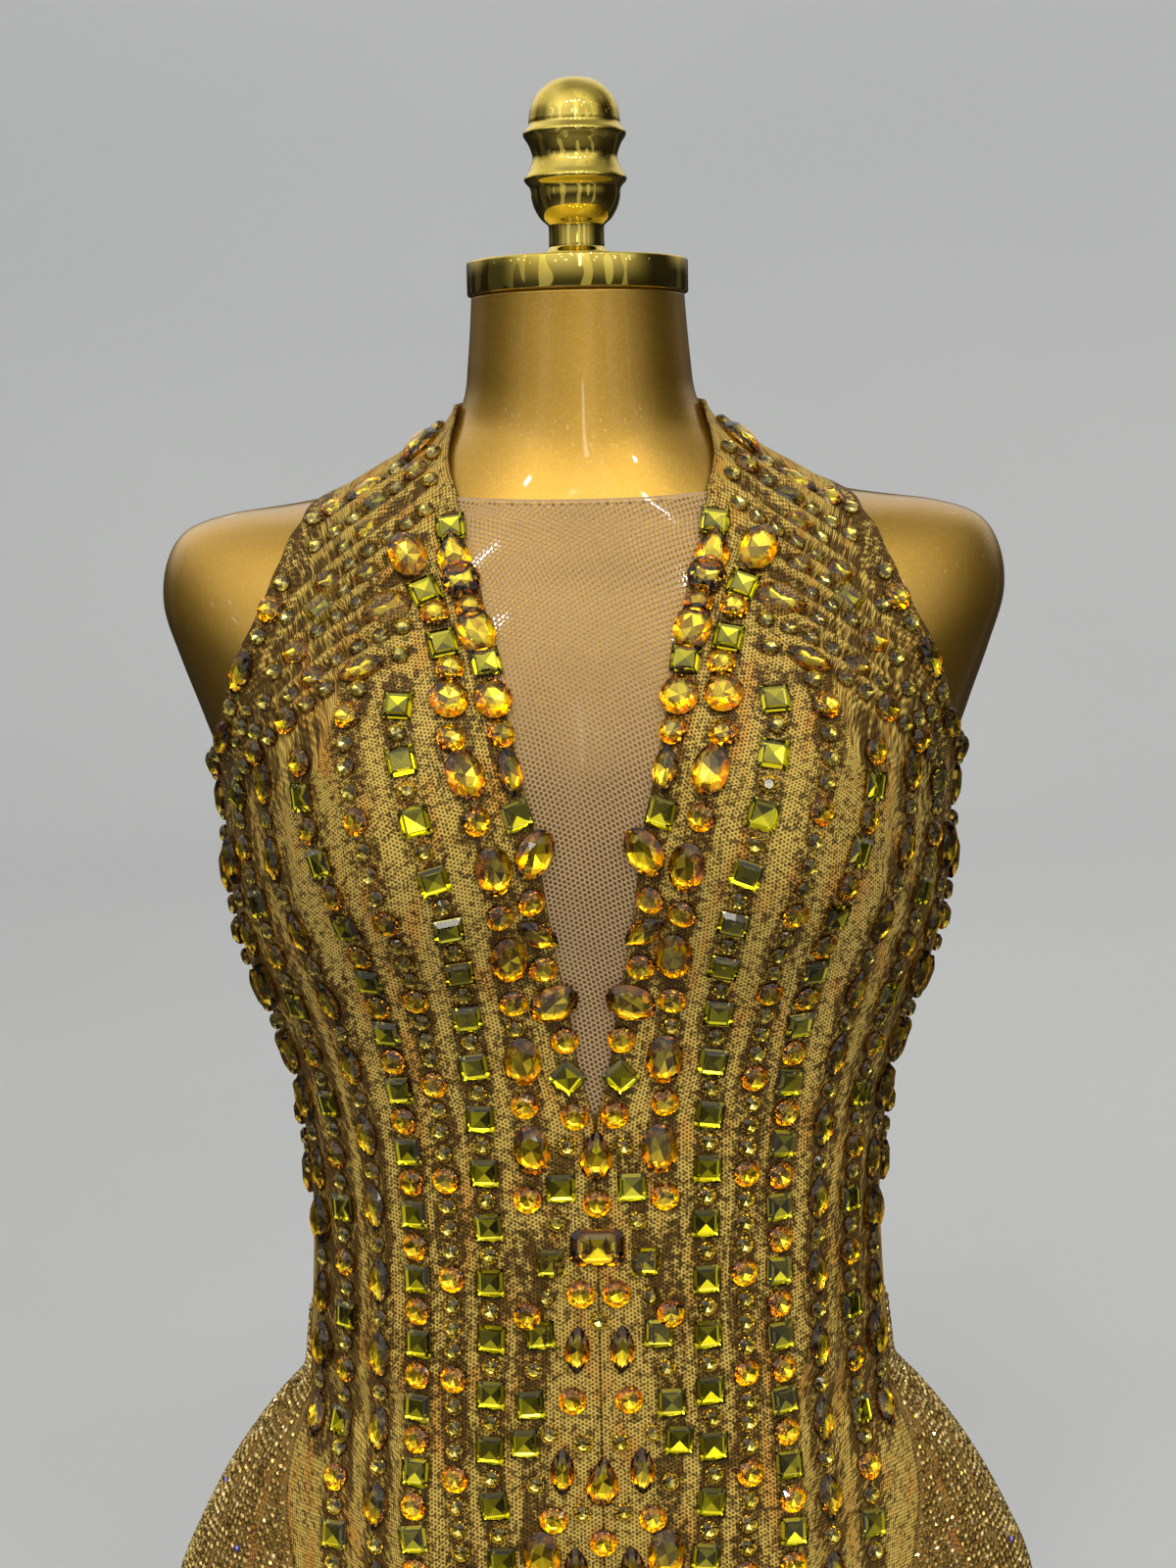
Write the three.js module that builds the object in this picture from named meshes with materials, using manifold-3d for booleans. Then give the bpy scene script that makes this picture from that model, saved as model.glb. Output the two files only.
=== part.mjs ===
// A halter stage bodysuit with raised stones, on a limbless gold dress form.
// Millimetres. The front faces -Y, +X is the viewer's right, +Z is up.
import * as THREE from 'three';
import Module from 'manifold-3d';

const wasm = await Module();
wasm.setup();

// Sizes that drive the whole part
const FORM_INSET = 0.85;
const CLOTH_INNER = 1.5;
const CLOTH_OUTER = 2.8;
const NET_OUTER = 2.1;
const SEAM_GAP = 0.3;
const GUSSET_HALF_WIDTH = 22;
const SIDE_Y = 5;
const STONE_HEIGHT = 4.6;
const STONE_ROOT = 0.7;
const STONE_TABLE = 0.62;
const STONE_GAP = 2.6;
const EDGE_MARGIN = 0.6;
const MIDDLE_LIFT = 0.95;
const FOLD_HEIGHT = 2.4;
const FOLD_HALF_WIDTH = 2.6;
const FOLD_STEPS = 4;
const STONE_FLOOR = 222;
const CENTRE_Y = -3.737;
const LEG_SIDES = 16;
const BUST = { x: 83, z: 578, height: 46, across: 42, up: 46 };
const SEAT = { x: 74, z: 212, height: 24, across: 52, up: 44 };

// Stations up the form. Each one is a closed ring that may sit at another
// height at the side, the front and the back.
const STATION_COLUMNS = ['sideZ', 'frontZ', 'backZ', 'halfWidth', 'front', 'back', 'squareness'];
const STATIONS = [
  [88, 88, 88, 26, 34, 40, 2.0],
  [94, 94, 94, 52, 54, 62, 2.1],
  [106, 106, 106, 100, 71, 78, 2.2],
  [125, 125, 125, 143, 82, 87, 2.2],
  [150, 150, 150, 180, 88, 93, 2.2],
  [180, 180, 180, 199, 92, 98, 2.2],
  [212, 212, 212, 197.5, 94, 100, 2.2],
  [240, 240, 240, 186, 94, 99, 2.2],
  [268, 268, 268, 170.5, 92.5, 96, 2.2],
  [292, 292, 292, 153, 90.5, 91, 2.2],
  [312, 312, 312, 136, 89, 86, 2.2],
  [336, 336, 336, 131.5, 87, 80, 2.2],
  [366, 366, 366, 129.3, 84, 74, 2.2],
  [396, 396, 396, 128.3, 81, 70, 2.2],
  [426, 426, 426, 129, 79.5, 69, 2.2],
  [456, 456, 456, 133, 79.5, 71, 2.2],
  [486, 486, 486, 142.5, 80, 75, 2.2],
  [516, 516, 516, 154, 81.5, 79, 2.2],
  [552, 550, 553, 160, 83.5, 83, 2.25],
  [592, 585, 595, 161.5, 84, 86, 2.35],
  [622, 606, 620, 171, 85, 89, 2.45],
  [650, 627, 645, 181, 84, 91, 2.5],
  [672, 646, 667, 187.5, 81, 91, 2.5],
  [692, 663, 687, 185.5, 76.5, 89, 2.5],
  [706, 678, 704, 176, 71.5, 85, 2.45],
  [713, 691, 718, 156, 67, 79.5, 2.4],
  [716, 702, 729, 132, 63, 74, 2.35],
  [720, 712, 738, 108, 59.5, 68.5, 2.3],
  [729, 722, 746, 86, 56, 63.5, 2.2],
  [740, 732, 754, 69, 53, 59, 2.1],
  [750, 742, 761, 57, 51, 55.5, 2.0],
  [762, 755, 770, 51.8, 49.5, 52.5, 2.0],
  [776, 772, 783, 50, 48.5, 50, 2.0],
  [792, 790, 794, 48.6, 47.9, 48.3, 2.0],
  [804, 804, 804, 47.8, 47.8, 47.8, 2.0],
];
const TOP_STATION = STATIONS.length - 1;

// Thigh stubs: columns are z, x, halfWidth, y and halfDepth of each oval ring
const LEG_RINGS = [
  [0, 107, 86, 5, 83],
  [50, 110, 88, 5, 86],
  [95, 113, 89, 6, 88],
  [150, 110, 92, 5, 86],
  [190, 102, 93, 5, 80],
  [230, 90, 78, 3, 58],
];

// Cloth edges as station and angle in degrees from the centre front
const NECK_EDGE = [
  [0, 0], [14.9, 0], [15.7, 2.0], [16.6, 3.0], [17.4, 4.4], [18.2, 5.3], [19.2, 6.2], [20.7, 6.6],
  [21.8, 7.4], [23.2, 8.6], [24.2, 10.6], [25.5, 16.5], [26.6, 22], [27.6, 31], [28.5, 45],
  [29.5, 62], [30.6, 80],
];
const OUTER_EDGE = [
  [0, 20], [2, 24.5], [3, 26], [4, 28.5], [5, 32], [6, 38], [7.35, 47], [8.1, 54.5], [9.3, 66],
  [10.65, 76], [11.4, 88], [19.2, 88], [19.8, 67], [20.1, 62], [20.6, 56], [21.4, 49], [22.3, 43.5],
  [23.1, 41.5], [24.1, 42.5], [25.4, 51], [26.4, 67], [27.2, 86], [27.7, 95], [30.6, 95],
];
const BACK_SCOOP = [[175, 720], [163.5, 598], [157, 570], [148, 540], [128, 503], [98, 477],
  [55, 461], [0, 456]];
const STRAP_LOW = [[95, 27.7], [110, 28.1], [130, 28.7], [155, 29.1], [180, 29.2]];
const STRAP_HIGH = [[95, 30.6], [130, 30.7], [180, 30.9]];
const FRONT_LEG_LINE = [[22, 103.5], [50, 131], [85, 162], [112, 181], [150, 197], [230, 214]];
const BACK_LEG_LINE = [[22, 103.5], [60, 132], [95, 162], [120, 183], [150, 197], [230, 214]];
const PANEL_BOTTOM = 1;
const WAIST_SEAM = 11.4;
const SIDE_TOP = 19.2;
const GUSSET_TOP_Z = 103.5;
const NET_TOP = 27.35;
const NET_TIP = 15.15;
const WALL_TOP = 30.6;
const SIDE_ANGLE = 88;
const STRAP_ANGLE = 95;
const STRAP_MIDDLE = 30.05;
const HIP_COLUMNS = 14;
const BACK_COLUMNS = 16;
const STRAP_COLUMNS = 10;
const WAIST_JOIN = 0.012;

// Stations and angles where the form and the cloth have their facets
const FACET_STATIONS = [
  0, 1, 2, 2.8, 4, 5.4, 6.8, 8.1, 9.3, 10.65, WAIST_SEAM, 13.4, 14.9, NET_TIP, 16.4, 17.2, 17.8, 18.3,
  18.8, SIDE_TOP, 19.8, 20.5, 21.4, 22.4, 23.4, 24.4, 25.4, 26.4, NET_TOP, 28.3, 29.4, WALL_TOP,
  32.2, TOP_STATION,
];
const FACET_ANGLES = [0, 7, 14, 21, 28, 36, 46, 57, 68, 79, 90, 104, 118, 133, 148, 164, 180];
const FRONT_SHARES = [0, 0.11, 0.21, 0.3, 0.39, 0.5, 0.62, 0.74, 0.87, 1];

// Stone cuts: length along the column, width, corners of the outline
const CUTS = {
  s: { long: 12.4, wide: 12.4, corners: 4, turn: 45 },
  r: { long: 11.6, wide: 11.6, corners: 6, turn: 0, small: true },
  b: { long: 17, wide: 15.5, corners: 6, turn: 0 },
  o: { long: 20, wide: 14.6, corners: 6, turn: 0 },
  m: { long: 20.5, wide: 10.2, corners: 4, turn: 0 },
  p: { long: 21.5, wide: 15, corners: 6, turn: 0 },
  e: { long: 15.5, wide: 23.5, corners: 4, turn: 45 },
  q: { long: 15, wide: 15, corners: 4, turn: 0 },
  d: { long: 7.4, wide: 7.4, small: true },
};

// Stone columns of one front, from the bottom up: the order of the cuts, and
// the column's course in the front view as x and z. The tables below it list
// single stones as cut, x and z.
const STONE_COLUMNS = [
  { name: 'second low', cuts: 'rord', course: [[14, 118], [22, 200], [29, 300], [31, 402]] },
  { name: 'third', cuts: 'sd', course: [[30, 135], [38, 210], [48, 300], [46, 350], [46, 409],
    [49, 465], [55, 524], [61, 556], [68, 581], [74, 607], [77, 624], [76, 643]] },
  { name: 'fourth', cuts: 'rddd', course: [[52, 160], [58, 210], [63, 290], [62, 387], [64, 435],
    [69, 484], [77, 530], [84, 552], [92, 587], [97, 612], [97, 628], [89, 644], [80, 652]] },
  { name: 'fifth', cuts: 'sr', course: [[76, 178], [80, 215], [82, 273], [79, 315], [77, 363],
    [78, 420], [82, 462], [87, 496], [95, 531], [107, 566], [115, 590], [117, 608], [113, 622],
    [104, 638], [88, 656]] },
  { name: 'sixth', cuts: 'md', course: [[97, 205], [100, 240], [98, 275], [95, 325], [94, 378],
    [96, 430], [100, 460], [108, 496], [119, 531], [130, 560], [134, 590], [134, 610],
    [128, 628], [116, 646], [101, 662], [84, 669]] },
  { name: 'seventh', cuts: 'dsdr', course: [[118, 250], [116, 290], [111, 325], [109, 370],
    [110, 410], [114, 451], [124, 492], [136, 531], [145, 565], [148, 590], [146, 607]] },
  { name: 'eighth', cuts: 'mdo', course: [[126, 300], [121, 340], [120, 380], [121, 420],
    [127, 460], [139, 500], [150, 540], [155, 575]] },
  { name: 'bib one', cuts: 'ddods', course: [[129, 648], [112, 666], [93, 678], [74, 683], [62, 686]] },
  { name: 'bib two', cuts: 'dsddro', course: [[122, 668], [104, 682], [86, 692], [70, 698]] },
  { name: 'bib three', cuts: 'ordds', course: [[116, 686], [100, 698], [82, 706], [66, 711]] },
  { name: 'bib four', cuts: 'rorso', course: [[108, 701], [92, 711], [76, 720], [64, 728]] },
  { name: 'centre side', cuts: 'dssd', course: [[8, 118], [20, 190], [31, 250], [30, 276]] },
];
const NECK_COLUMN = [
  ['s', 55, 704], ['p', 54, 691], ['b', 50, 677], ['r', 47, 664], ['o', 43, 651], ['s', 41, 637],
  ['b', 38, 622], ['r', 35, 609], ['m', 32, 594], ['s', 29, 577], ['o', 25, 560], ['r', 25, 543],
  ['m', 22, 528], ['r', 21, 511], ['o', 18, 495], ['r', 14, 479], ['q', 13, 464], ['r', 9, 448],
];
const SECOND_COLUMN = [
  ['o', 69, 690], ['s', 66, 679], ['r', 63, 668], ['s', 59, 655], ['r', 55, 642], ['b', 55, 628],
  ['r', 54, 614], ['o', 50, 597], ['r', 47, 580], ['o', 42, 561], ['r', 40, 543], ['o', 38, 526],
  ['r', 35, 508], ['d', 34, 497], ['o', 33, 482], ['r', 34, 464], ['o', 32, 445], ['r', 31, 424],
];
const CENTRE_SIDES = [
  ['s', 20, 408], ['s', 27, 378], ['m', 11, 352], ['s', 32, 348], ['m', 19, 303], ['s', 33, 308],
  ['m', 12, 258],
];
const CENTRE_LINE = [['p', 0, 423], ['e', 0, 383], ['p', 0, 297], ['m', 0, 236]];

// Gathers of the halter: each is a ridge along a course in the front view
const FOLDS = [
  [[140, 622], [122, 640], [104, 654], [88, 662]],
  [[133, 641], [114, 660], [96, 671], [76, 677]],
  [[126, 659], [108, 675], [90, 686], [66, 693]],
  [[119, 678], [102, 691], [84, 700], [64, 706]],
  [[112, 695], [96, 705], [78, 714], [60, 720]],
  [[100, 710], [86, 718], [72, 727], [60, 737]],
];
const WAIST_FOLDS = [
  [[5, 440], [10, 415], [17, 385], [25, 350]],
];

const CAP = { radius: 48.7, bottom: 804.3, top: 819, bevel: 0.8 };
const FINIAL = [
  [0, 819.3], [15.5, 819.3], [15.5, 821], [14.7, 822.4], [12.2, 825], [12.2, 834.8], [15.3, 837],
  [18.1, 841.6], [19.5, 846], [20, 850.3], [22.4, 854.4], [19.4, 860.4], [18.6, 864.3],
  [20.6, 869.5], [22.5, 873.4], [20.3, 877.6], [19.7, 881.6], [18, 888], [12.4, 893.8], [0, 898],
];
const CLASP = { width: 16, height: 13, lift: 0.3, thick: 1.6 };

const radians = THREE.MathUtils.degToRad;

// A point of a table of two columns, by straight steps
function tableAt(table, key) {
  if (key <= table[0][0]) return table[0][1];
  for (let i = 1; i < table.length; i += 1) {
    const [k1, v1] = table[i];
    if (key <= k1) {
      const [k0, v0] = table[i - 1];
      return v0 + (v1 - v0) * (key - k0) / (k1 - k0);
    }
  }
  return table[table.length - 1][1];
}

// The ring sizes at any station, as a smooth curve through the table
function ringAt(station) {
  const t = THREE.MathUtils.clamp(station, 0, TOP_STATION);
  const i = Math.min(Math.floor(t), TOP_STATION - 1);
  const f = t - i;
  const rows = [Math.max(i - 1, 0), i, i + 1, Math.min(i + 2, TOP_STATION)].map((k) => STATIONS[k]);
  const ring = {};
  STATION_COLUMNS.forEach((name, c) => {
    const [a, b, d, e] = rows.map((r) => r[c]);
    ring[name] = 0.5 * (2 * b + (d - a) * f + (2 * a - 5 * b + 4 * d - e) * f * f
      + (3 * b - a - 3 * d + e) * f * f * f);
  });
  return ring;
}

// How far the bust or the seat stands out of the ring at one place
function mound(m, x, z) {
  const up = ((z - m.z) / m.up) ** 2 / 2;
  const near = ((Math.abs(x) - m.x) / m.across) ** 2 / 2;
  const far = ((Math.abs(x) + m.x) / m.across) ** 2 / 2;
  return m.height * (Math.exp(-near - up) + Math.exp(-far - up));
}

// The body surface: angle from the centre front in radians, and station
function surface(angle, station) {
  const ring = ringAt(station);
  const s = Math.sin(angle);
  const c = Math.cos(angle);
  const power = 2 / ring.squareness;
  const x = ring.halfWidth * Math.sign(s) * Math.abs(s) ** power;
  const isFront = c > 0;
  const z = ring.sideZ + ((isFront ? ring.frontZ : ring.backZ) - ring.sideZ) * c * c;
  const depth = (isFront ? ring.front : ring.back) * Math.abs(c) ** power;
  const swell = mound(isFront ? BUST : SEAT, x, z) * Math.abs(c) ** 0.6;
  return new THREE.Vector3(x, isFront ? -depth - swell : depth + swell, z);
}

// The same place moved out along the surface's normal
function lifted(angle, station, lift) {
  const da = 0.01;
  const dt = 0.02;
  const low = Math.max(station - dt, 0);
  const high = Math.min(station + dt, TOP_STATION);
  const across = surface(angle + da, station).sub(surface(angle - da, station));
  const up = surface(angle, high).sub(surface(angle, low));
  const out = across.cross(up).normalize();
  return surface(angle, station).addScaledVector(out, lift);
}

// The angle of a place in the front view at one station
function angleAtX(x, station) {
  const ring = ringAt(station);
  const share = Math.min(Math.abs(x) / ring.halfWidth, 1);
  return Math.asin(share ** (ring.squareness / 2));
}

// The station of a place in the front view, by halving
function stationAt(x, z) {
  let low = 0;
  let high = TOP_STATION;
  for (let i = 0; i < 24; i += 1) {
    const middle = (low + high) / 2;
    if (surface(angleAtX(x, middle), middle).z < z) low = middle;
    else high = middle;
  }
  return (low + high) / 2;
}

// Half of a seam gap as an angle at one place
function gapAngle(angle, station) {
  const step = 0.01;
  const span = surface(angle + step, station).distanceTo(surface(angle - step, station));
  return (SEAM_GAP / 2) * (2 * step) / span;
}

// Solids from points
function solidFromPoints(points, triangles) {
  const vertProperties = new Float32Array(points.flatMap((p) => [p.x, p.y, p.z]));
  let volume = 0;
  for (const [a, b, c] of triangles) {
    volume += points[a].dot(points[b].clone().cross(points[c]));
  }
  const order = volume < 0 ? triangles.map(([a, b, c]) => [a, c, b]) : triangles;
  const triVerts = new Uint32Array(order.flat());
  return new wasm.Manifold(new wasm.Mesh({ numProp: 3, vertProperties, triVerts }));
}

// A wall between two grids of points of the same size
function wallSolid(outer, inner) {
  const rows = outer.length;
  const columns = outer[0].length;
  const points = [...outer.flat(), ...inner.flat()];
  const out = (i, j) => i * columns + j;
  const back = (i, j) => rows * columns + i * columns + j;
  const triangles = [];
  const quad = (a, b, c, d) => triangles.push([a, b, c], [a, c, d]);
  for (let i = 0; i < rows - 1; i += 1) {
    for (let j = 0; j < columns - 1; j += 1) {
      quad(out(i, j), out(i, j + 1), out(i + 1, j + 1), out(i + 1, j));
      quad(back(i, j), back(i + 1, j), back(i + 1, j + 1), back(i, j + 1));
    }
    quad(out(i, 0), out(i + 1, 0), back(i + 1, 0), back(i, 0));
    quad(out(i, columns - 1), back(i, columns - 1), back(i + 1, columns - 1), out(i + 1, columns - 1));
  }
  for (let j = 0; j < columns - 1; j += 1) {
    quad(out(0, j), back(0, j), back(0, j + 1), out(0, j + 1));
    quad(out(rows - 1, j), out(rows - 1, j + 1), back(rows - 1, j + 1), back(rows - 1, j));
  }
  return solidFromPoints(points, triangles);
}

// A closed solid through rings of points, with flat ends
function loftSolid(rings) {
  const sides = rings[0].length;
  const points = rings.flat();
  const triangles = [];
  for (let i = 0; i < rings.length - 1; i += 1) {
    for (let j = 0; j < sides; j += 1) {
      const a = i * sides + j;
      const b = i * sides + (j + 1) % sides;
      triangles.push([a, b, b + sides], [a, b + sides, a + sides]);
    }
  }
  const last = (rings.length - 1) * sides;
  for (let j = 1; j < sides - 1; j += 1) {
    triangles.push([0, j + 1, j], [last, last + j, last + j + 1]);
  }
  return solidFromPoints(points, triangles);
}

// A panel is a grid of angle and station, and keeps it for what lies on it
function panel(places, inner = CLOTH_INNER, outer = CLOTH_OUTER) {
  const grid = (lift) => places.map((row) => row.map(([a, t]) => lifted(a, t, lift)));
  return { places, outer: grid(outer), inner: grid(inner) };
}

function panelSolid(p) {
  return wallSolid(p.outer, p.inner);
}

// A place on a panel's own facets, or null when it lies off the panel
function onPanel(p, angle, station, lift) {
  const { places, outer, inner } = p;
  const last = places.length - 2;
  let i = 0;
  while (i < last && places[i + 1][0][1] < station) i += 1;
  const v = (station - places[i][0][1]) / (places[i + 1][0][1] - places[i][0][1]);
  const edge = (k) => places[i][k][0] + (places[i + 1][k][0] - places[i][k][0]) * v;
  const columns = places[i].length - 1;
  const share = (angle - edge(0)) / (edge(columns) - edge(0));
  if (v < 0 || v > 1 || share < 0 || share > 1) return null;
  let j = 0;
  while (j < columns - 1 && (edge(j + 1) - edge(0)) / (edge(columns) - edge(0)) < share) j += 1;
  const u = j + (angle - edge(j)) / (edge(j + 1) - edge(j));
  const mix = (g) => {
    const a = g[i][j].clone().lerp(g[i][j + 1], u - j);
    const b = g[i + 1][j].clone().lerp(g[i + 1][j + 1], u - j);
    return a.lerp(b, v);
  };
  const top = mix(outer);
  const out = top.clone().sub(mix(inner)).normalize();
  return top.addScaledVector(out, lift);
}

// The angle and station a few millimetres from a place, along and across
function stepFrom(angle, station, dx, dz) {
  const da = 0.01;
  const dt = 0.05;
  const across = surface(angle + da, station).sub(surface(angle - da, station));
  const up = surface(angle, station + dt).sub(surface(angle, station - dt));
  const side = across.clone().normalize();
  const rise = up.clone().addScaledVector(side, -up.dot(side));
  const slant = up.dot(side) / rise.length();
  const steps = dz / rise.length();
  return [angle + (dx - steps * rise.length() * slant) / across.length() * 2 * da,
    station + steps * 2 * dt];
}

// One stone as a tapered block rooted in the panel's wall
function stoneSolid(p, angle, station, heading, cut) {
  const { long, wide, corners, turn } = CUTS[cut];
  const reach = corners === 4 && turn === 45 ? Math.SQRT2 : 1;
  const ringOf = (scale, lift) => {
    const ring = [];
    for (let k = 0; k < corners; k += 1) {
      const a = radians(turn) + 2 * Math.PI * k / corners;
      const l = Math.cos(a) * long / 2 * scale * reach;
      const w = Math.sin(a) * wide / 2 * scale * reach;
      const dx = l * Math.sin(heading) + w * Math.cos(heading);
      const dz = l * Math.cos(heading) - w * Math.sin(heading);
      const [angle2, station2] = stepFrom(angle, station, dx, dz);
      const point = onPanel(p, angle2, station2, lift);
      if (!point) return null;
      ring.push(point);
    }
    return ring;
  };
  if (!ringOf(1 + EDGE_MARGIN / wide, 0)) return null;
  return loftSolid([ringOf(1, -STONE_ROOT), ringOf(STONE_TABLE, STONE_HEIGHT)]);
}

// Places along a course, a stone's length and a gap apart
function stonesAlong({ cuts, course }) {
  const stones = [];
  const lengths = [0];
  for (let i = 1; i < course.length; i += 1) {
    const [x0, z0] = course[i - 1];
    const [x1, z1] = course[i];
    const flat = Math.hypot(x1 - x0, z1 - z0);
    const here = surface(angleAtX(x0, stationAt(x0, z0)), stationAt(x0, z0));
    const there = surface(angleAtX(x1, stationAt(x1, z1)), stationAt(x1, z1));
    lengths.push(lengths[i - 1] + Math.max(flat, here.distanceTo(there)));
  }
  const total = lengths[lengths.length - 1];
  let along = 0;
  for (let k = 0; along < total; k += 1) {
    const cut = cuts[k % cuts.length];
    const half = CUTS[cut].long / 2;
    const centre = along + half;
    if (centre > total) break;
    let i = 1;
    while (lengths[i] < centre) i += 1;
    const f = (centre - lengths[i - 1]) / (lengths[i] - lengths[i - 1]);
    const [x0, z0] = course[i - 1];
    const [x1, z1] = course[i];
    stones.push({ cut, x: x0 + (x1 - x0) * f, z: z0 + (z1 - z0) * f,
      heading: Math.atan2(x1 - x0, z1 - z0) });
    along = centre + half + STONE_GAP;
  }
  return stones;
}

// Stones at listed places, each turned along the line through its neighbours
function stonesListed(rows) {
  return rows.map(([cut, x, z], i) => {
    const [, x0, z0] = rows[Math.min(i + 1, rows.length - 1)];
    const [, x1, z1] = rows[Math.max(i - 1, 0)];
    return { cut, x, z, heading: Math.atan2(x1 - x0, z1 - z0) };
  });
}

function frontStones() {
  const columns = STONE_COLUMNS.flatMap(stonesAlong);
  const pairs = CENTRE_SIDES.map(([cut, x, z]) => ({ cut, x, z, heading: 0 }));
  const listed = [...stonesListed(NECK_COLUMN), ...stonesListed(SECOND_COLUMN)];
  return [...columns, ...listed, ...pairs].filter((s) => !CUTS[s.cut].small && s.z > STONE_FLOOR);
}

// A gather as a low ridge with a rooted base
function foldSolid(p, side, course) {
  const rings = [];
  const steps = FOLD_STEPS;
  for (let k = 0; k <= steps; k += 1) {
    const place = k / steps * (course.length - 1);
    const i = Math.min(Math.floor(place), course.length - 2);
    const x = course[i][0] + (course[i + 1][0] - course[i][0]) * (place - i);
    const z = course[i][1] + (course[i + 1][1] - course[i][1]) * (place - i);
    const heading = Math.atan2(course[i + 1][0] - course[i][0], course[i + 1][1] - course[i][1]);
    const station = stationAt(x, z);
    const angle = angleAtX(x, station);
    const taper = Math.sin(Math.PI * (0.08 + 0.84 * k / steps));
    const at = (w, lift) => {
      const [a, t] = stepFrom(angle, station, w * Math.cos(heading), -w * Math.sin(heading));
      return onPanel(p, side * a, t, lift);
    };
    const half = FOLD_HALF_WIDTH * (0.5 + 0.5 * taper);
    const ring = [at(-half, -STONE_ROOT), at(0, FOLD_HEIGHT * taper), at(half, -STONE_ROOT)];
    if (ring.every(Boolean)) rings.push(ring);
  }
  return rings.length > 1 ? loftSolid(rings) : null;
}

function thigh(side) {
  const rings = LEG_RINGS.map(([z, x, halfWidth, y, halfDepth]) => {
    const ring = [];
    for (let k = 0; k < LEG_SIDES; k += 1) {
      const a = 2 * Math.PI * k / LEG_SIDES;
      ring.push(new THREE.Vector3(
        side * x + halfWidth * Math.cos(a), y + halfDepth * Math.sin(a), z));
    }
    return ring;
  });
  return loftSolid(rings);
}

function latheSolid(profile, sides) {
  const rings = profile.filter(([r]) => r > 0).map(([r, z]) => {
    const ring = [];
    for (let k = 0; k < sides; k += 1) {
      const a = 2 * Math.PI * k / sides;
      ring.push(new THREE.Vector3(r * Math.cos(a), r * Math.sin(a), z));
    }
    return ring;
  });
  return loftSolid(rings);
}

function blockSolid(halfWidth, halfDepth, low, high) {
  const corners = [[-1, -1], [1, -1], [1, 1], [-1, 1]];
  return loftSolid([low, high].map((z) => corners.map(([x, y]) => (
    new THREE.Vector3(x * halfWidth, y * halfDepth, z)))));
}

// What is cut away below each leg opening, in front of and behind the side
function legRoom(side) {
  const blocks = [[FRONT_LEG_LINE, -200, SIDE_Y], [BACK_LEG_LINE, SIDE_Y, 200]].map(([line, y0, y1]) => {
    const outline = [[-1, 60], [-1, GUSSET_TOP_Z], ...line, [230, 60]];
    return loftSolid([y0, y1].map((y) => outline.map(([x, z]) => new THREE.Vector3(side * x, y, z))));
  });
  return blocks[0].add(blocks[1]);
}

function torso(stations, lift) {
  const half = FACET_ANGLES.slice(1, -1);
  const angles = [...FACET_ANGLES, ...half.reverse().map((a) => 360 - a)];
  return loftSolid(stations.map((t) => angles.map((a) => lifted(radians(a), t, lift))));
}

function stationsBetween(low, high) {
  return FACET_STATIONS.filter((t) => t >= low && t <= high);
}

const part = new THREE.Group();

function add(name, solid, look) {
  const mesh = solid.getMesh();
  const geometry = new THREE.BufferGeometry();
  geometry.setAttribute('position', new THREE.BufferAttribute(mesh.vertProperties, 3));
  geometry.setIndex(new THREE.BufferAttribute(mesh.triVerts, 1));
  geometry.computeVertexNormals();
  const material = new THREE.MeshStandardMaterial(look);
  const node = new THREE.Mesh(geometry, material);
  node.name = name;
  part.add(node);
}

const GOLD_LACQUER = { color: 0xb98f35, roughness: 0.3, metalness: 0.8 };
const POLISHED_GOLD = { color: 0xd8b04a, roughness: 0.08, metalness: 1.0 };
const PRINTED_MESH = { color: 0x9a7434, roughness: 0.55, metalness: 0.2 };
const NUDE_NET = { color: 0xc49a6c, roughness: 0.8, metalness: 0.0 };
const AMBER_STONE = { color: 0xd98a10, roughness: 0.1, metalness: 0.3 };
const STONED_MESH = { color: 0xa98436, roughness: 0.35, metalness: 0.4 };

// The largest body of a cut solid; slivers by the leg line are left out
function largest(solid) {
  return solid.decompose().reduce((a, b) => (a.volume() > b.volume() ? a : b));
}

// The dress form: a smooth torso with two thigh stubs
const thighs = [-1, 1].map(thigh);
const form = torso(FACET_STATIONS, -FORM_INSET).add(thighs[0]).add(thighs[1]);
add('dress_form', form, GOLD_LACQUER);

// The neck cap and the turned finial on it
const { radius, bottom, top, bevel } = CAP;
add('neck_cap', latheSolid([[radius - bevel, bottom], [radius, bottom + bevel], [radius, top - bevel],
  [radius - bevel, top]], 28), POLISHED_GOLD);
add('finial', latheSolid([...FINIAL.slice(1, -1), [3, 897.7]], 16), POLISHED_GOLD);

// The two halter fronts, with their stones and gathers
function frontPlaces(side) {
  return stationsBetween(PANEL_BOTTOM, WALL_TOP).map((t) => {
    const first = radians(tableAt(NECK_EDGE, t));
    const last = radians(tableAt(OUTER_EDGE, t));
    const a0 = first + gapAngle(first, t);
    const a1 = last - gapAngle(last, t);
    return FRONT_SHARES.map((u) => [side * (a0 + (a1 - a0) * u), t]);
  });
}

const stones = frontStones();
for (const side of [-1, 1]) {
  const front = panel(frontPlaces(side));
  const pieces = [panelSolid(front)];
  for (const { cut, x, z, heading } of stones) {
    const station = stationAt(x, z);
    const angle = angleAtX(x, station);
    const stone = stoneSolid(front, side * angle, station, side * heading, cut);
    if (stone) pieces.push(stone);
  }
  for (const course of [...FOLDS, ...WAIST_FOLDS]) {
    const fold = foldSolid(front, side, course);
    if (fold) pieces.push(fold);
  }
  const whole = pieces.reduce((a, b) => a.add(b)).subtract(legRoom(side));
  add(side < 0 ? 'front_left' : 'front_right', largest(whole), PRINTED_MESH);
}

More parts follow.
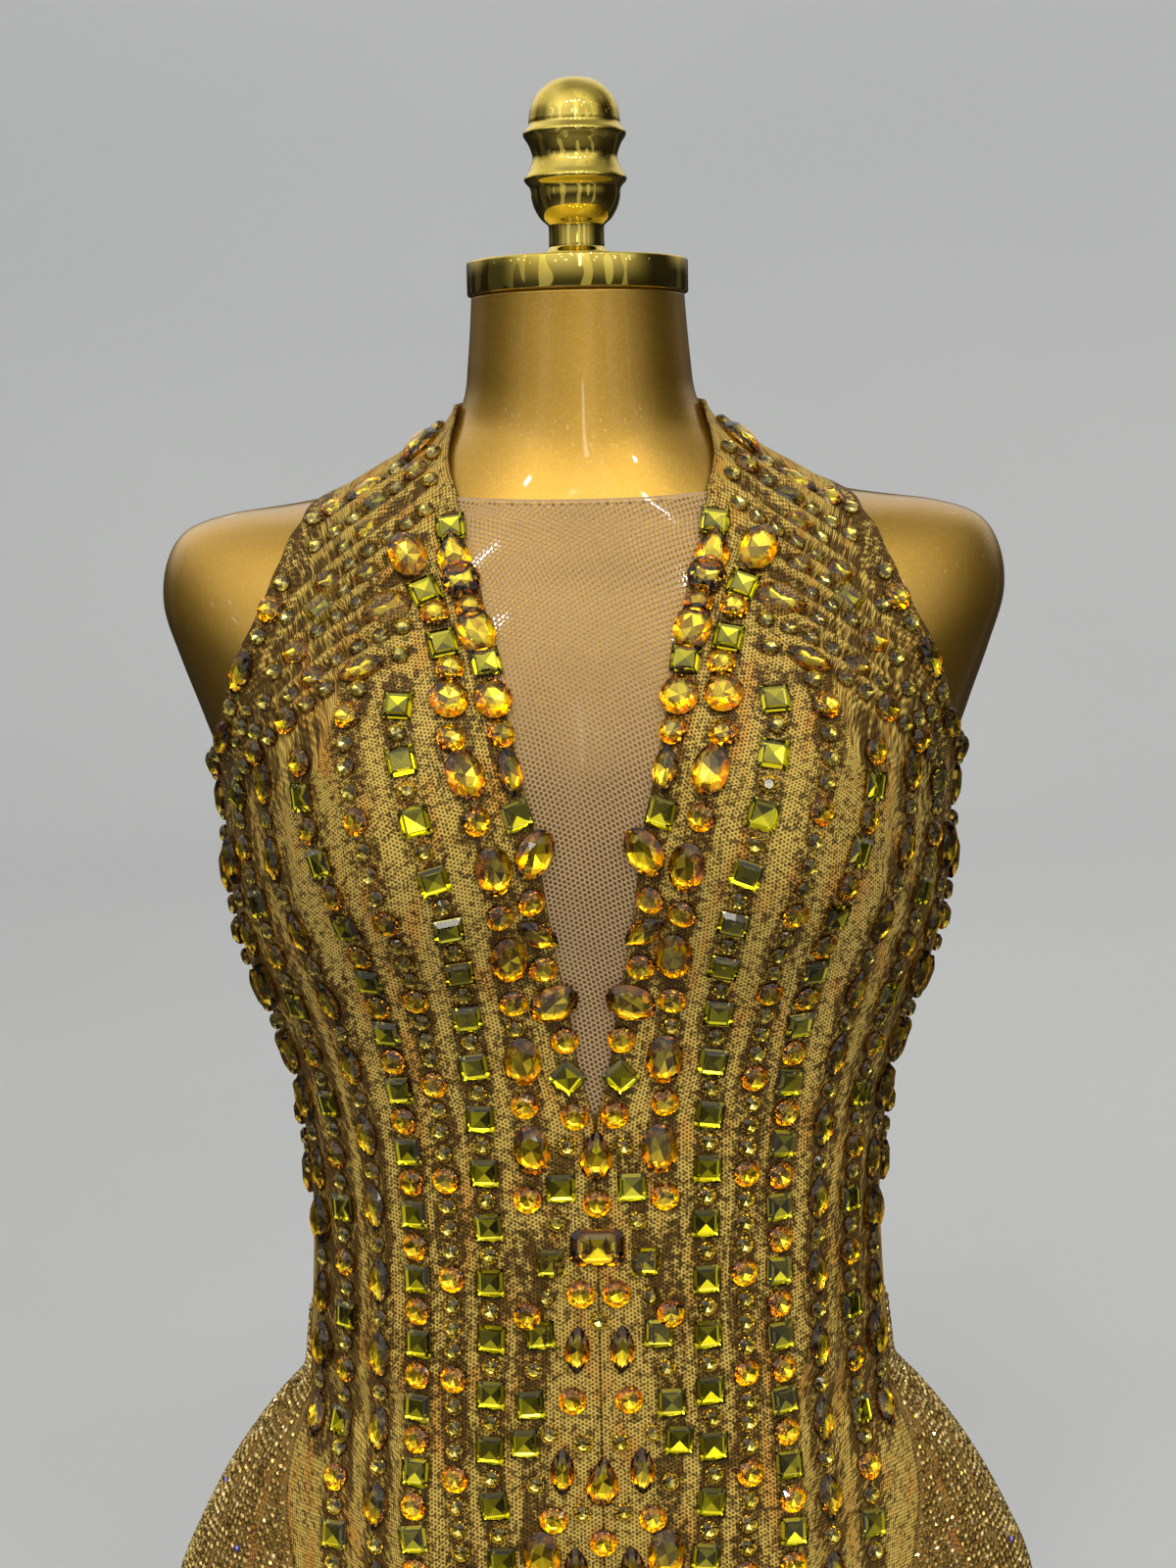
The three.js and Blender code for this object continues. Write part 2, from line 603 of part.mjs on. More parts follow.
// Stones on the centre line lie over both fronts, just clear of them
CENTRE_LINE.forEach(([cut, , z], number) => {
  const { long, wide, corners, turn } = CUTS[cut];
  const reach = turn === 45 ? Math.SQRT2 : 1;
  const station = stationAt(0, z);
  const ringOf = (scale, lift) => {
    const ring = [];
    for (let k = 0; k < corners; k += 1) {
      const a = radians(turn) + 2 * Math.PI * k / corners;
      const [angle2, station2] = stepFrom(0, station, Math.sin(a) * wide / 2 * scale * reach,
        Math.cos(a) * long / 2 * scale * reach);
      ring.push(lifted(angle2, station2, lift));
    }
    return ring;
  };
  const rings = [ringOf(1, CLOTH_OUTER + MIDDLE_LIFT), ringOf(STONE_TABLE, CLOTH_OUTER + STONE_HEIGHT)];
  add(`centre_stone_${number + 1}`, loftSolid(rings), AMBER_STONE);
});

// The net that fills the neckline
const netPlaces = stationsBetween(NET_TIP, NET_TOP).map((t) => {
  const edge = radians(tableAt(NECK_EDGE, t));
  const half = edge - gapAngle(edge, t);
  return [-1, -0.65, -0.3, 0, 0.3, 0.65, 1].map((u) => [u * half, t]);
});
add('neckline_net', panelSolid(panel(netPlaces, CLOTH_INNER, NET_OUTER)), NUDE_NET);

// The hip and seat panels, which carry the small stones
for (const side of [-1, 1]) {
  const places = stationsBetween(PANEL_BOTTOM, WAIST_SEAM).map((t) => {
    const seam = radians(tableAt(OUTER_EDGE, t));
    const a0 = seam + gapAngle(seam, t);
    const a1 = Math.PI - gapAngle(Math.PI, t);
    const row = [];
    for (let j = 0; j <= HIP_COLUMNS; j += 1) row.push([side * (a0 + (a1 - a0) * j / HIP_COLUMNS), t]);
    return row;
  });
  const hip = panelSolid(panel(places)).subtract(legRoom(side));
  add(side < 0 ? 'hip_left' : 'hip_right', largest(hip), STONED_MESH);
}

// The back, from side seam to side seam under a low scoop
const backPlaces = stationsBetween(WAIST_SEAM, SIDE_TOP).map((t) => {
  const station = t === WAIST_SEAM ? t + WAIST_JOIN : t;
  const first = radians(SIDE_ANGLE) + gapAngle(radians(SIDE_ANGLE), t);
  const row = [];
  for (let j = 0; j <= BACK_COLUMNS; j += 1) {
    row.push([first + (2 * Math.PI - 2 * first) * j / BACK_COLUMNS, station]);
  }
  return row;
});
const scoopLine = [...BACK_SCOOP, ...BACK_SCOOP.slice(0, -1).reverse().map(([x, z]) => [-x, z])];
const scoopRoom = loftSolid([-3, 200].map((y) => scoopLine.map(([x, z]) => new THREE.Vector3(x, y, z))));
add('back', largest(panelSolid(panel(backPlaces)).subtract(scoopRoom)), PRINTED_MESH);

// The neck strap in two halves, and the clasp that closes it at the nape
for (const side of [-1, 1]) {
  const first = radians(STRAP_ANGLE) + gapAngle(radians(STRAP_ANGLE), STRAP_MIDDLE);
  const last = Math.PI - gapAngle(Math.PI, STRAP_MIDDLE);
  const rows = [0, 0.33, 0.67, 1].map((v) => {
    const row = [];
    for (let j = 0; j <= STRAP_COLUMNS; j += 1) {
      const angle = first + (last - first) * j / STRAP_COLUMNS;
      const degrees = THREE.MathUtils.radToDeg(angle);
      const low = tableAt(STRAP_LOW, degrees);
      row.push([side * angle, low + (tableAt(STRAP_HIGH, degrees) - low) * v]);
    }
    return row;
  });
  add(side < 0 ? 'neck_strap_left' : 'neck_strap_right', panelSolid(panel(rows)), PRINTED_MESH);
}

const claspPlaces = [-1, 0, 1].map((v) => [-1, -0.5, 0, 0.5, 1].map((u) => (
  stepFrom(Math.PI, STRAP_MIDDLE, u * CLASP.width / 2, v * CLASP.height / 2))));
const claspInner = CLOTH_OUTER + CLASP.lift;
add('neck_clasp', panelSolid(panel(claspPlaces, claspInner, claspInner + CLASP.thick)), POLISHED_GOLD);

// The gusset is the bottom of the same cloth, between the leg openings
const gussetOuter = torso([0, 1, 2, 2.8], CLOTH_OUTER);
const gussetInner = torso([0, 1, 2, 2.8, 4], CLOTH_INNER);
const gussetRoom = blockSolid(GUSSET_HALF_WIDTH, 200, 0, GUSSET_TOP_Z - SEAM_GAP);
const gusset = gussetOuter.subtract(gussetInner).intersect(gussetRoom);
add('gusset', largest(gusset), PRINTED_MESH);

part.position.y = -CENTRE_Y;

export default part;
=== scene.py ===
import math

import bpy
import numpy as np
from mathutils import Matrix, Vector


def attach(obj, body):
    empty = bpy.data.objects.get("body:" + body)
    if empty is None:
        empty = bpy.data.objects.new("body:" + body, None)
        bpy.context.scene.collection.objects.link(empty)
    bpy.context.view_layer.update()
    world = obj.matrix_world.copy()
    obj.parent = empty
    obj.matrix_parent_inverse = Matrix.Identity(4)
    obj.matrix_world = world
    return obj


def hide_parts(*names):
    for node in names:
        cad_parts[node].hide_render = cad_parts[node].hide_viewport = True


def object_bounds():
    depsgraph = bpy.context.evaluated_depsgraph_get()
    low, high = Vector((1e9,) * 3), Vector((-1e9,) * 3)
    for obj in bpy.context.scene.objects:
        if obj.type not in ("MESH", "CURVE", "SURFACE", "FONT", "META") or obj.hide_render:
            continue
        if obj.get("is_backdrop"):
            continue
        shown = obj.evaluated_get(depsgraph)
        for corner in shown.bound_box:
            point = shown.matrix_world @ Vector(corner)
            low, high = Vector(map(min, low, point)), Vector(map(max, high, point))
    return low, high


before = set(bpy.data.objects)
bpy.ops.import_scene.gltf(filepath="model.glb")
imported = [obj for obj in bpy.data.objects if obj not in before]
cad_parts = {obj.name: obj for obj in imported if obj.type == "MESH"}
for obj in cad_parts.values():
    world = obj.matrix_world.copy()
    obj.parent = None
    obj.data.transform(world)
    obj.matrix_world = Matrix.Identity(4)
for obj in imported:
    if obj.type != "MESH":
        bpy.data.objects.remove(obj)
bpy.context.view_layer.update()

# The camera stands about a metre in front of the form's axis, a little below the neck cap, and looks
# slightly down. The lens gives the photo's framing on a picture of 1200 by 1600.
FORM_AXIS_Y = 3.737
CAMERA_MM = (0.0, -1058.0 + FORM_AXIS_Y, 730.0)
CAMERA_PITCH = math.radians(7.7)
CAMERA_ROLL = math.radians(1.2)
FOCAL_PIXELS = 2405
PICTURE_HEIGHT = 1600
SENSOR_MM = 36.0

camera_data = bpy.data.cameras.new("camera")
camera_data.sensor_width = SENSOR_MM
camera_data.lens = SENSOR_MM * FOCAL_PIXELS / PICTURE_HEIGHT
camera_data.clip_end = 50
camera = bpy.data.objects.new("camera", camera_data)
ahead = Vector((0, math.cos(CAMERA_PITCH), -math.sin(CAMERA_PITCH)))
above = Vector((0, math.sin(CAMERA_PITCH), math.cos(CAMERA_PITCH)))
right = Vector((1, 0, 0))
camera_x = right * math.cos(CAMERA_ROLL) - above * math.sin(CAMERA_ROLL)
camera_y = above * math.cos(CAMERA_ROLL) + right * math.sin(CAMERA_ROLL)
turn = Matrix((camera_x, camera_y, -ahead)).transposed().to_4x4()
camera.matrix_world = Matrix.Translation(Vector(CAMERA_MM) / 1000) @ turn
bpy.context.scene.collection.objects.link(camera)
bpy.context.scene.camera = camera


# The studio is a round pale cove with an open top: its floor carries the form, and its wall closes the
# view on every side. Polished pieces don't mirror it, they mirror the darker room and its lamps.
class Line:
    """One socket of a shader, for use in sums like a number."""

    def __init__(self, tree, socket=None):
        self.tree, self.socket = tree, socket

    def node(self, kind, settings=None, inputs=None, out=0):
        made = self.tree.nodes.new("ShaderNode" + kind)
        for key, value in (settings or {}).items():
            if key == "stops":
                ramp = made.color_ramp
                while len(ramp.elements) < len(value):
                    ramp.elements.new(1.0)
                for element, (place, colour) in zip(ramp.elements, value):
                    element.position, element.color = place, (*colour, 1)
            else:
                setattr(made, key, value)
        for key, value in (inputs or {}).items():
            if isinstance(value, Line):
                self.tree.links.new(value.socket, made.inputs[key])
            elif isinstance(value, tuple) and len(value) == 3 and made.inputs[key].type == "RGBA":
                made.inputs[key].default_value = (*value, 1)
            else:
                made.inputs[key].default_value = value
        return Line(self.tree, made.outputs[out])

    def maths(self, operation, *values):
        return self.node("Math", {"operation": operation}, dict(enumerate(values)))

    def __add__(self, other): return self.maths("ADD", self, other)
    def __radd__(self, other): return self.maths("ADD", other, self)
    def __sub__(self, other): return self.maths("SUBTRACT", self, other)
    def __rsub__(self, other): return self.maths("SUBTRACT", other, self)
    def __mul__(self, other): return self.maths("MULTIPLY", self, other)
    def __rmul__(self, other): return self.maths("MULTIPLY", other, self)

    def between(self, low, high):
        """0 below low, 1 above high, and a smooth step from one to the other."""
        return self.node("MapRange", {"interpolation_type": "SMOOTHSTEP"},
                         {"Value": self, "From Min": low, "From Max": high})

    def blend(self, first, second):
        """The first colour where this is 0, the second where it is 1."""
        return self.node("Mix", {"data_type": "RGBA"}, {0: self, 6: first, 7: second}, 2)

    def noise(self, vector, scale, detail=2.0, roughness=0.5):
        return self.node("TexNoise", {}, {"Vector": vector, "Scale": scale, "Detail": detail,
                                          "Roughness": roughness})


def finish(name, **constants):
    """A new material: its node maker, its shader, and the shader's constants set."""
    made = bpy.data.materials.new(name)
    made.use_nodes = True
    shader = made.node_tree.nodes["Principled BSDF"]
    for key, value in constants.items():
        socket = shader.inputs[key.replace("_", " ").title().replace("Ior", "IOR")]
        socket.default_value = (*value, 1) if isinstance(value, tuple) else value
    return made, Line(made.node_tree), shader


def feed(shader, **lines):
    for key, line in lines.items():
        line.tree.links.new(line.socket, shader.inputs[key.replace("_", " ")])


def mesh_object(name, points, faces, smooth=True):
    mesh = bpy.data.meshes.new(name)
    mesh.from_pydata([tuple(p) for p in points], [], faces)
    mesh.shade_smooth() if smooth else mesh.shade_flat()
    made = bpy.data.objects.new(name, mesh)
    bpy.context.scene.collection.objects.link(made)
    return made


def lathe(name, profile, sides):
    """A turned piece in metres: profile is radius and height from the bottom axis to the top axis."""
    angles = np.linspace(0, 2 * np.pi, sides, endpoint=False)
    rings = [(r, z) for r, z in profile if r > 0]
    points = [(r * np.cos(a), r * np.sin(a), z) for r, z in rings for a in angles]
    faces = []
    for i in range(len(rings) - 1):
        for j in range(sides):
            k = (j + 1) % sides
            faces.append((i * sides + j, i * sides + k, (i + 1) * sides + k, (i + 1) * sides + j))
    if profile[0][0] == 0:
        faces.append(tuple(range(sides - 1, -1, -1)))
    if profile[-1][0] == 0:
        faces.append(tuple((len(rings) - 1) * sides + j for j in range(sides)))
    return mesh_object(name, points, faces)


COVE_RADIUS = 5.0
COVE_HEIGHT = 4.5
COVE_BEND = 1.5
bend = [(COVE_RADIUS - COVE_BEND + COVE_BEND * math.sin(a), COVE_BEND - COVE_BEND * math.cos(a))
        for a in np.linspace(0, math.pi / 2, 12)]
cove = lathe("studio_cove", [(0, 0), (0.05, 0.0), (1.0, 0.0), *bend, (COVE_RADIUS, COVE_HEIGHT)], 96)
cove_paint, tone, shader = finish("cove_paint", roughness=0.9)
place = tone.node("TexCoord", out=3)
feed(shader, Base_Color=tone.noise(place, 0.35).between(0.3, 0.7)
     .blend((0.63, 0.655, 0.69), (0.70, 0.725, 0.76)))
cove.data.materials.append(cove_paint)
cove.visible_glossy = False
cove.visible_transmission = False
cove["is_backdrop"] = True

world = bpy.data.worlds.new("room")
bpy.context.scene.world = world
world.use_nodes = True
air = Line(world.node_tree)
way = air.node("TexCoord", out=0)
split = air.node("SeparateXYZ", {}, {0: way})
way_x, way_y, way_z = (Line(air.tree, split.socket.node.outputs[k]) for k in range(3))
toward_front = (0.0 - way_y).between(0.05, 0.90)
toward_back = way_y.between(0.25, 0.80) * way_z.between(0.05, 0.36)
upward = way_z.between(-0.35, 0.6)
tall = air.node("VectorMath", {"operation": "MULTIPLY"}, {0: way, 1: (2.3, 2.3, 0.2)})
doorways = air.noise(tall, 1.0, 1.0, 0.6).between(0.52, 0.535)
ceiling = way_z.between(0.20, 0.26) * (1 - way_z.between(0.60, 0.70))
lamp_dots = 1 - air.node("TexVoronoi", {}, {"Vector": way, "Scale": 10.0}).between(0.10, 0.14)
overhead = way_z.between(0.35, 0.95)
upper_left = (0.0 - way_x).between(0.05, 0.70) * way_z.between(0.15, 0.60)
floor_glow = (0.0 - way_z).between(0.15, 0.8) * (toward_front * 0.22 + 0.05)
room_glow = (0.015 + upward * (0.015 + toward_front * 1.0) + toward_back * 0.72 + overhead * 0.36
             + upper_left * 0.55 + floor_glow)
strength = (room_glow + doorways * (0.04 + toward_front * 0.34)
            + ceiling * lamp_dots * (toward_front * 0.7 + 0.3) * 7.0)
sky = world.node_tree.nodes["Background"]
tint = doorways.blend((1.0, 0.955, 0.87), (1.0, 0.985, 0.90))
world.node_tree.links.new(tint.socket, sky.inputs["Color"])
world.node_tree.links.new(strength.socket, sky.inputs["Strength"])


def lamp(name, place, target, size, power, colour, mirrored=False):
    data = bpy.data.lights.new(name, "AREA")
    data.shape = "RECTANGLE"
    data.size, data.size_y = size
    data.energy = power
    data.color = colour
    made = bpy.data.objects.new(name, data)
    made.location = place
    made.rotation_euler = (Vector(target) - Vector(place)).to_track_quat("-Z", "Y").to_euler()
    made.visible_glossy = mirrored
    bpy.context.scene.collection.objects.link(made)


CHEST = (0, 0, 0.6)
lamp("key_window", (-0.5, -2.1, 2.3), CHEST, (1.2, 0.8), 20, (1.0, 0.94, 0.84))
lamp("fill_window", (1.3, -2.0, 1.5), CHEST, (0.8, 1.2), 9, (1.0, 0.96, 0.88))
lamp("back_window", (0.3, 3.0, 3.2), CHEST, (1.6, 1.0), 14, (1.0, 0.97, 0.90))
lamp("front_strip", (0.12, -2.4, 1.5), CHEST, (0.10, 0.8), 1.5, (1.0, 0.96, 0.88), True)
for number, (x, z) in enumerate([(-0.5, 2.05), (-0.2, 2.15), (0.1, 2.1), (0.4, 2.2), (0.75, 2.0)]):
    lamp(f"spot_{number}", (x, -1.35, z), CHEST, (0.05, 0.05), 1.6, (1.0, 0.93, 0.80), True)

bpy.context.scene.view_settings.view_transform = "Standard"
bpy.context.scene.view_settings.look = "None"
bpy.context.scene.view_settings.exposure = 0.0


# The dress form is a glass-fibre shell without limbs, sprayed in satin pearl gold under a clear gloss
# lacquer. Its rings sit at stations that may dip at the side, the front and the back.
STATIONS = np.array([
    # side z, front z, back z, half width, front, back, squareness
    (88, 88, 88, 26, 34, 40, 2.0), (94, 94, 94, 52, 54, 62, 2.1), (106, 106, 106, 100, 71, 78, 2.2),
    (125, 125, 125, 143, 82, 87, 2.2), (150, 150, 150, 180, 88, 93, 2.2),
    (180, 180, 180, 199, 92, 98, 2.2), (212, 212, 212, 197.5, 94, 100, 2.2),
    (240, 240, 240, 186, 94, 99, 2.2), (268, 268, 268, 170.5, 92.5, 96, 2.2),
    (292, 292, 292, 153, 90.5, 91, 2.2), (312, 312, 312, 136, 89, 86, 2.2),
    (336, 336, 336, 131.5, 87, 80, 2.2), (366, 366, 366, 129.3, 84, 74, 2.2),
    (396, 396, 396, 128.3, 81, 70, 2.2), (426, 426, 426, 129, 79.5, 69, 2.2),
    (456, 456, 456, 133, 79.5, 71, 2.2), (486, 486, 486, 142.5, 80, 75, 2.2),
    (516, 516, 516, 154, 81.5, 79, 2.2), (552, 550, 553, 160, 83.5, 83, 2.25),
    (592, 585, 595, 161.5, 84, 86, 2.35), (622, 606, 620, 171, 85, 89, 2.45),
    (650, 627, 645, 181, 84, 91, 2.5), (672, 646, 667, 187.5, 81, 91, 2.5),
    (692, 663, 687, 185.5, 76.5, 89, 2.5), (706, 678, 704, 176, 71.5, 85, 2.45),
    (713, 691, 718, 156, 67, 79.5, 2.4), (716, 702, 729, 132, 63, 74, 2.35),
    (720, 712, 738, 108, 59.5, 68.5, 2.3), (729, 722, 746, 86, 56, 63.5, 2.2),
    (740, 732, 754, 69, 53, 59, 2.1), (750, 742, 761, 57, 51, 55.5, 2.0),
    (762, 755, 770, 51.8, 49.5, 52.5, 2.0), (776, 772, 783, 50, 48.5, 50, 2.0),
    (792, 790, 794, 48.6, 47.9, 48.3, 2.0), (804, 804, 804, 47.8, 47.8, 47.8, 2.0)])
TOP_STATION = len(STATIONS) - 1
BUST = {"x": 83, "z": 578, "height": 46, "across": 42, "up": 46}
SEAT = {"x": 74, "z": 212, "height": 24, "across": 52, "up": 44}


def curve(a, b, d, e, f):
    """The smooth curve from b to d at share f, which also looks at a before and e after."""
    return 0.5 * (2 * b + (d - a) * f + (2 * a - 5 * b + 4 * d - e) * f**2 + (3 * b - a - 3 * d + e) * f**3)


def ring_at(station):
    t = np.clip(station, 0, TOP_STATION)
    i = np.minimum(np.floor(t).astype(int), TOP_STATION - 1)
    f = (t - i)[..., None]
    before, after = STATIONS[np.maximum(i - 1, 0)], STATIONS[np.minimum(i + 2, TOP_STATION)]
    return curve(before, STATIONS[i], STATIONS[i + 1], after, f)


def mound(m, x, z):
    up = ((z - m["z"]) / m["up"])**2 / 2
    near = ((np.abs(x) - m["x"]) / m["across"])**2 / 2
    far = ((np.abs(x) + m["x"]) / m["across"])**2 / 2
    return m["height"] * (np.exp(-near - up) + np.exp(-far - up))


def surface(angle, station):
    """The body's surface in millimetres: angle from the centre front in radians, and station."""
    angle, station = np.broadcast_arrays(np.asarray(angle, float), np.asarray(station, float))
    ring = ring_at(station)
    s, c = np.sin(angle), np.cos(angle)
    power = 2 / ring[..., 6]
    x = ring[..., 3] * np.sign(s) * np.abs(s)**power
    front = c > 0
    z = ring[..., 0] + (np.where(front, ring[..., 1], ring[..., 2]) - ring[..., 0]) * c**2
    depth = np.where(front, ring[..., 4], ring[..., 5]) * np.abs(c)**power
    swell = np.where(front, mound(BUST, x, z), mound(SEAT, x, z)) * np.abs(c)**0.6
    return np.stack([x, np.where(front, -depth - swell, depth + swell), z], -1)


def unit(vectors):
    return vectors / np.linalg.norm(vectors, axis=-1, keepdims=True)


def directions(angle, station):
    """Unit vectors at a place: across, up along the body, and out."""
    across = unit(surface(angle + 0.01, station) - surface(angle - 0.01, station))
    up = surface(angle, np.minimum(station + 0.02, TOP_STATION)) - surface(angle, np.maximum(station - 0.02, 0))
    out = unit(np.cross(across, up))
    return across, np.cross(out, across), out


def lifted(angle, station, lift):
    angle, station = np.asarray(angle, float), np.asarray(station, float)
    return surface(angle, station) + directions(angle, station)[2] * np.asarray(lift)[..., None]


def in_frame(points):
    """Points of the form's axis in millimetres, as metres in the row's frame."""
    return (np.asarray(points) + (0, FORM_AXIS_Y, 0)) / 1000


def ring_faces(rows, columns, closed):
    wrap = columns if closed else columns - 1
    return [(i * columns + j, i * columns + (j + 1) % columns,
             (i + 1) * columns + (j + 1) % columns, (i + 1) * columns + j)
            for i in range(rows - 1) for j in range(wrap)]


FORM_INSET = -0.85
FORM_SIDES = 160
TORSO_BOTTOM, TORSO_RINGS = 8.2, 190
HIPS_TOP, HIPS_RINGS = 9.4, 60
LEG_TOP, LEG_LEVELS, LEG_SIDES = 230, 40, 72
MELT_VOXEL = 0.0045
END_BAND = 0.0035


def form_rings(stations):
    angles = np.linspace(0, 2 * np.pi, FORM_SIDES, endpoint=False)
    a, t = np.meshgrid(angles, stations)
    rings = in_frame(lifted(a, t, np.full(a.shape, FORM_INSET))).reshape(-1, 3)
    faces = ring_faces(len(stations), FORM_SIDES, True)
    faces += [tuple(range(FORM_SIDES - 1, -1, -1)),
              tuple((len(stations) - 1) * FORM_SIDES + j for j in range(FORM_SIDES))]
    return rings, faces


form_torso = mesh_object("form_torso", *form_rings(np.linspace(TORSO_BOTTOM, TOP_STATION, TORSO_RINGS)))
# Each leg's rings: height, distance of its middle from the centre, half width, middle's y, half depth
LEG_RINGS = [(0, 107, 86, 5, 83), (50, 110, 88, 5, 86), (95, 113, 89, 6, 88), (150, 110, 92, 5, 86),
             (190, 102, 93, 5, 80), (230, 90, 78, 3, 58)]
hip_points, hip_faces = form_rings(np.linspace(0, HIPS_TOP, HIPS_RINGS))
hip_points, hip_faces = [tuple(p) for p in hip_points], list(hip_faces)
for side in (-1, 1):
    start = len(hip_points)
    heights = np.linspace(0, LEG_TOP, LEG_LEVELS)
    sizes = [np.interp(heights, [r[0] for r in LEG_RINGS], [r[k] for r in LEG_RINGS]) for k in range(5)]
    rings = []
    for z, x, wide, y, deep in zip(*sizes):
        turns = np.linspace(0, 2 * np.pi, LEG_SIDES, endpoint=False)
        rings.append(np.stack([side * x + wide * np.cos(turns), y + deep * np.sin(turns),
                               np.full(LEG_SIDES, z)], -1))
    hip_points += [tuple(p) for p in in_frame(np.array(rings)).reshape(-1, 3)]
    leg_faces = ring_faces(len(heights), LEG_SIDES, True)
    leg_faces += [tuple(range(LEG_SIDES - 1, -1, -1)),
                  tuple((len(heights) - 1) * LEG_SIDES + j for j in range(LEG_SIDES))]
    hip_faces += [tuple(start + k for k in f) for f in leg_faces]
form_legs = mesh_object("form_legs", hip_points, hip_faces)


def apply_modifiers(made):
    graph = bpy.context.evaluated_depsgraph_get()
    baked = bpy.data.meshes.new_from_object(made.evaluated_get(graph))
    made.modifiers.clear()
    made.data = baked


melt = form_legs.modifiers.new("melt", "REMESH")
melt.mode = "VOXEL"
melt.voxel_size = MELT_VOXEL
ease = form_legs.modifiers.new("ease", "SMOOTH")
ease.factor, ease.iterations = 0.5, 14
apply_modifiers(form_legs)
flat_ends = np.array([v.co for v in form_legs.data.vertices])
flat_ends[flat_ends[:, 2] < END_BAND, 2] = 0.0
form_legs.data.vertices.foreach_set("co", flat_ends.astype(np.float32).ravel())
form_legs.data.shade_smooth()

pearl_gold, tone, shader = finish("pearl_gold", metallic=0.96, coat_weight=0.75, coat_roughness=0.045,
                                  coat_ior=1.5)
place = tone.node("TexCoord", out=3)
flake = tone.noise(place, 900, 1.0)
cloud = tone.noise(place, 9, 3.0)
gold = cloud.between(0.3, 0.7).blend((0.56, 0.325, 0.04), (0.62, 0.365, 0.05))
gold = (flake.between(0.45, 0.75) * 0.35).blend(gold, (0.80, 0.52, 0.11))
peel = tone.noise(place, 210, 2.0)
feed(shader, Base_Color=gold, Roughness=0.36 + cloud * 0.08 + flake * 0.05,
     Normal=tone.node("Bump", {}, {"Strength": 0.18, "Distance": 0.0004, "Height": peel}))
for piece in (form_torso, form_legs):
    piece.data.materials.append(pearl_gold)
    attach(piece, "root")
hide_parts("dress_form")


# The neck cap is a turned and plated disc pressed over the form's neck, and the finial is a hollow plated
# turning screwed to it. Both are polished to a mirror.
def rounded(profile, steps, bends):
    """The profile with its points joined by a curve wherever bends says so."""
    points = np.array(profile, float)
    made = [points[0]]
    for i in range(len(points) - 1):
        a, b = points[max(i - 1, 0)], points[i]
        d, e = points[i + 1], points[min(i + 2, len(points) - 1)]
        for f in np.linspace(0, 1, steps + 1)[1:]:
            made.append(curve(a, b, d, e, f) if bends(i) else b + (d - b) * f)
    return [(max(r, 0) / 1000, z / 1000) for r, z in made]


CAP = [(0, 804.3), (47.6, 804.3), (48.4, 804.6), (48.7, 805.3), (48.7, 818.0), (48.5, 818.6), (47.9, 818.95),
       (47.2, 819.0), (0, 819.0)]
CAP_SIDES, FINIAL_SIDES, FINIAL_STEPS = 128, 96, 6
neck_cap = lathe("neck_cap_turned", [(r / 1000, z / 1000) for r, z in CAP], CAP_SIDES)
FINIAL = [(0, 819.3), (15.5, 819.3), (15.6, 820.8), (14.7, 822.4), (12.4, 824.6), (12.2, 826), (12.2, 833.4),
          (13.0, 835.0), (15.6, 837.4), (18.1, 841.6), (19.4, 846), (19.9, 850.3), (22.2, 853.2), (22.4, 854.8),
          (20.6, 857.6), (18.9, 861.4), (18.7, 864.6), (20.4, 869.3), (22.3, 872.4), (22.4, 874.2), (20.2, 877.0),
          (20.0, 879.6), (19.0, 885.2), (15.9, 891.0), (10.4, 895.6), (4.0, 897.5), (0, 897.6)]
finial = lathe("finial_turned", rounded(FINIAL, FINIAL_STEPS, lambda i: i > 1), FINIAL_SIDES)
polished_gold, tone, shader = finish("polished_gold", metallic=1.0)
place = tone.node("TexCoord", out=3)
smear = tone.noise(place, 60, 3.0)
feed(shader, Base_Color=smear.between(0.35, 0.7).blend((0.70, 0.54, 0.10), (0.79, 0.62, 0.15)),
     Roughness=0.035 + smear.between(0.5, 0.75) * 0.06,
     Normal=tone.node("Bump", {}, {"Strength": 0.03, "Distance": 0.0002, "Height": tone.noise(place, 30)}))
for piece, node in ((neck_cap, "neck_cap"), (finial, "finial")):
    piece.location.y = FORM_AXIS_Y / 1000
    piece.data.materials.append(polished_gold)
    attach(piece, "root")
    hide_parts(node)


# The two halter fronts are cut from printed stretch mesh, from the gusset to the neck. They are gathered
# over the bust into diagonal folds, hemmed at every edge and sewn to the net along the neckline.
NECK_EDGE = np.array([(0, 0), (14.9, 0), (15.7, 2.0), (16.6, 3.0), (17.4, 4.4), (18.2, 5.3), (19.2, 6.2),
                      (20.7, 6.6), (21.8, 7.4), (23.2, 8.6), (24.2, 10.6), (25.5, 16.5), (26.6, 22),
                      (27.6, 31), (28.5, 45), (29.5, 62), (30.6, 80)])
OUTER_EDGE = np.array([(0, 20), (2, 24.5), (3, 26), (4, 28.5), (5, 32), (6, 38), (7.35, 47), (8.1, 54.5),
                       (9.3, 66), (10.65, 76), (11.4, 88), (19.2, 88), (19.8, 67), (20.1, 62), (20.6, 56),
                       (21.4, 49), (22.3, 43.5), (23.1, 41.5), (24.1, 42.5), (25.4, 51), (26.4, 67),
                       (27.2, 86), (27.7, 95), (30.6, 95)])
FRONT_LEG_LINE = np.array([(0, 103.5), (22, 103.5), (50, 131), (85, 162), (112, 181), (150, 197), (230, 214)])
BACK_LEG_LINE = np.array([(0, 103.5), (22, 103.5), (60, 132), (95, 162), (120, 183), (150, 197), (230, 214)])
SIDE_ANGLE, WAIST_SEAM, SIDE_TOP, WALL_TOP = 88.0, 11.4, 19.2, 30.6
CLOTH_LIFT = 2.6
CLOTH_THICK = 0.0009
SEAM_GAP = 0.3
BISECTIONS = 26
COURSE_STEPS = 400


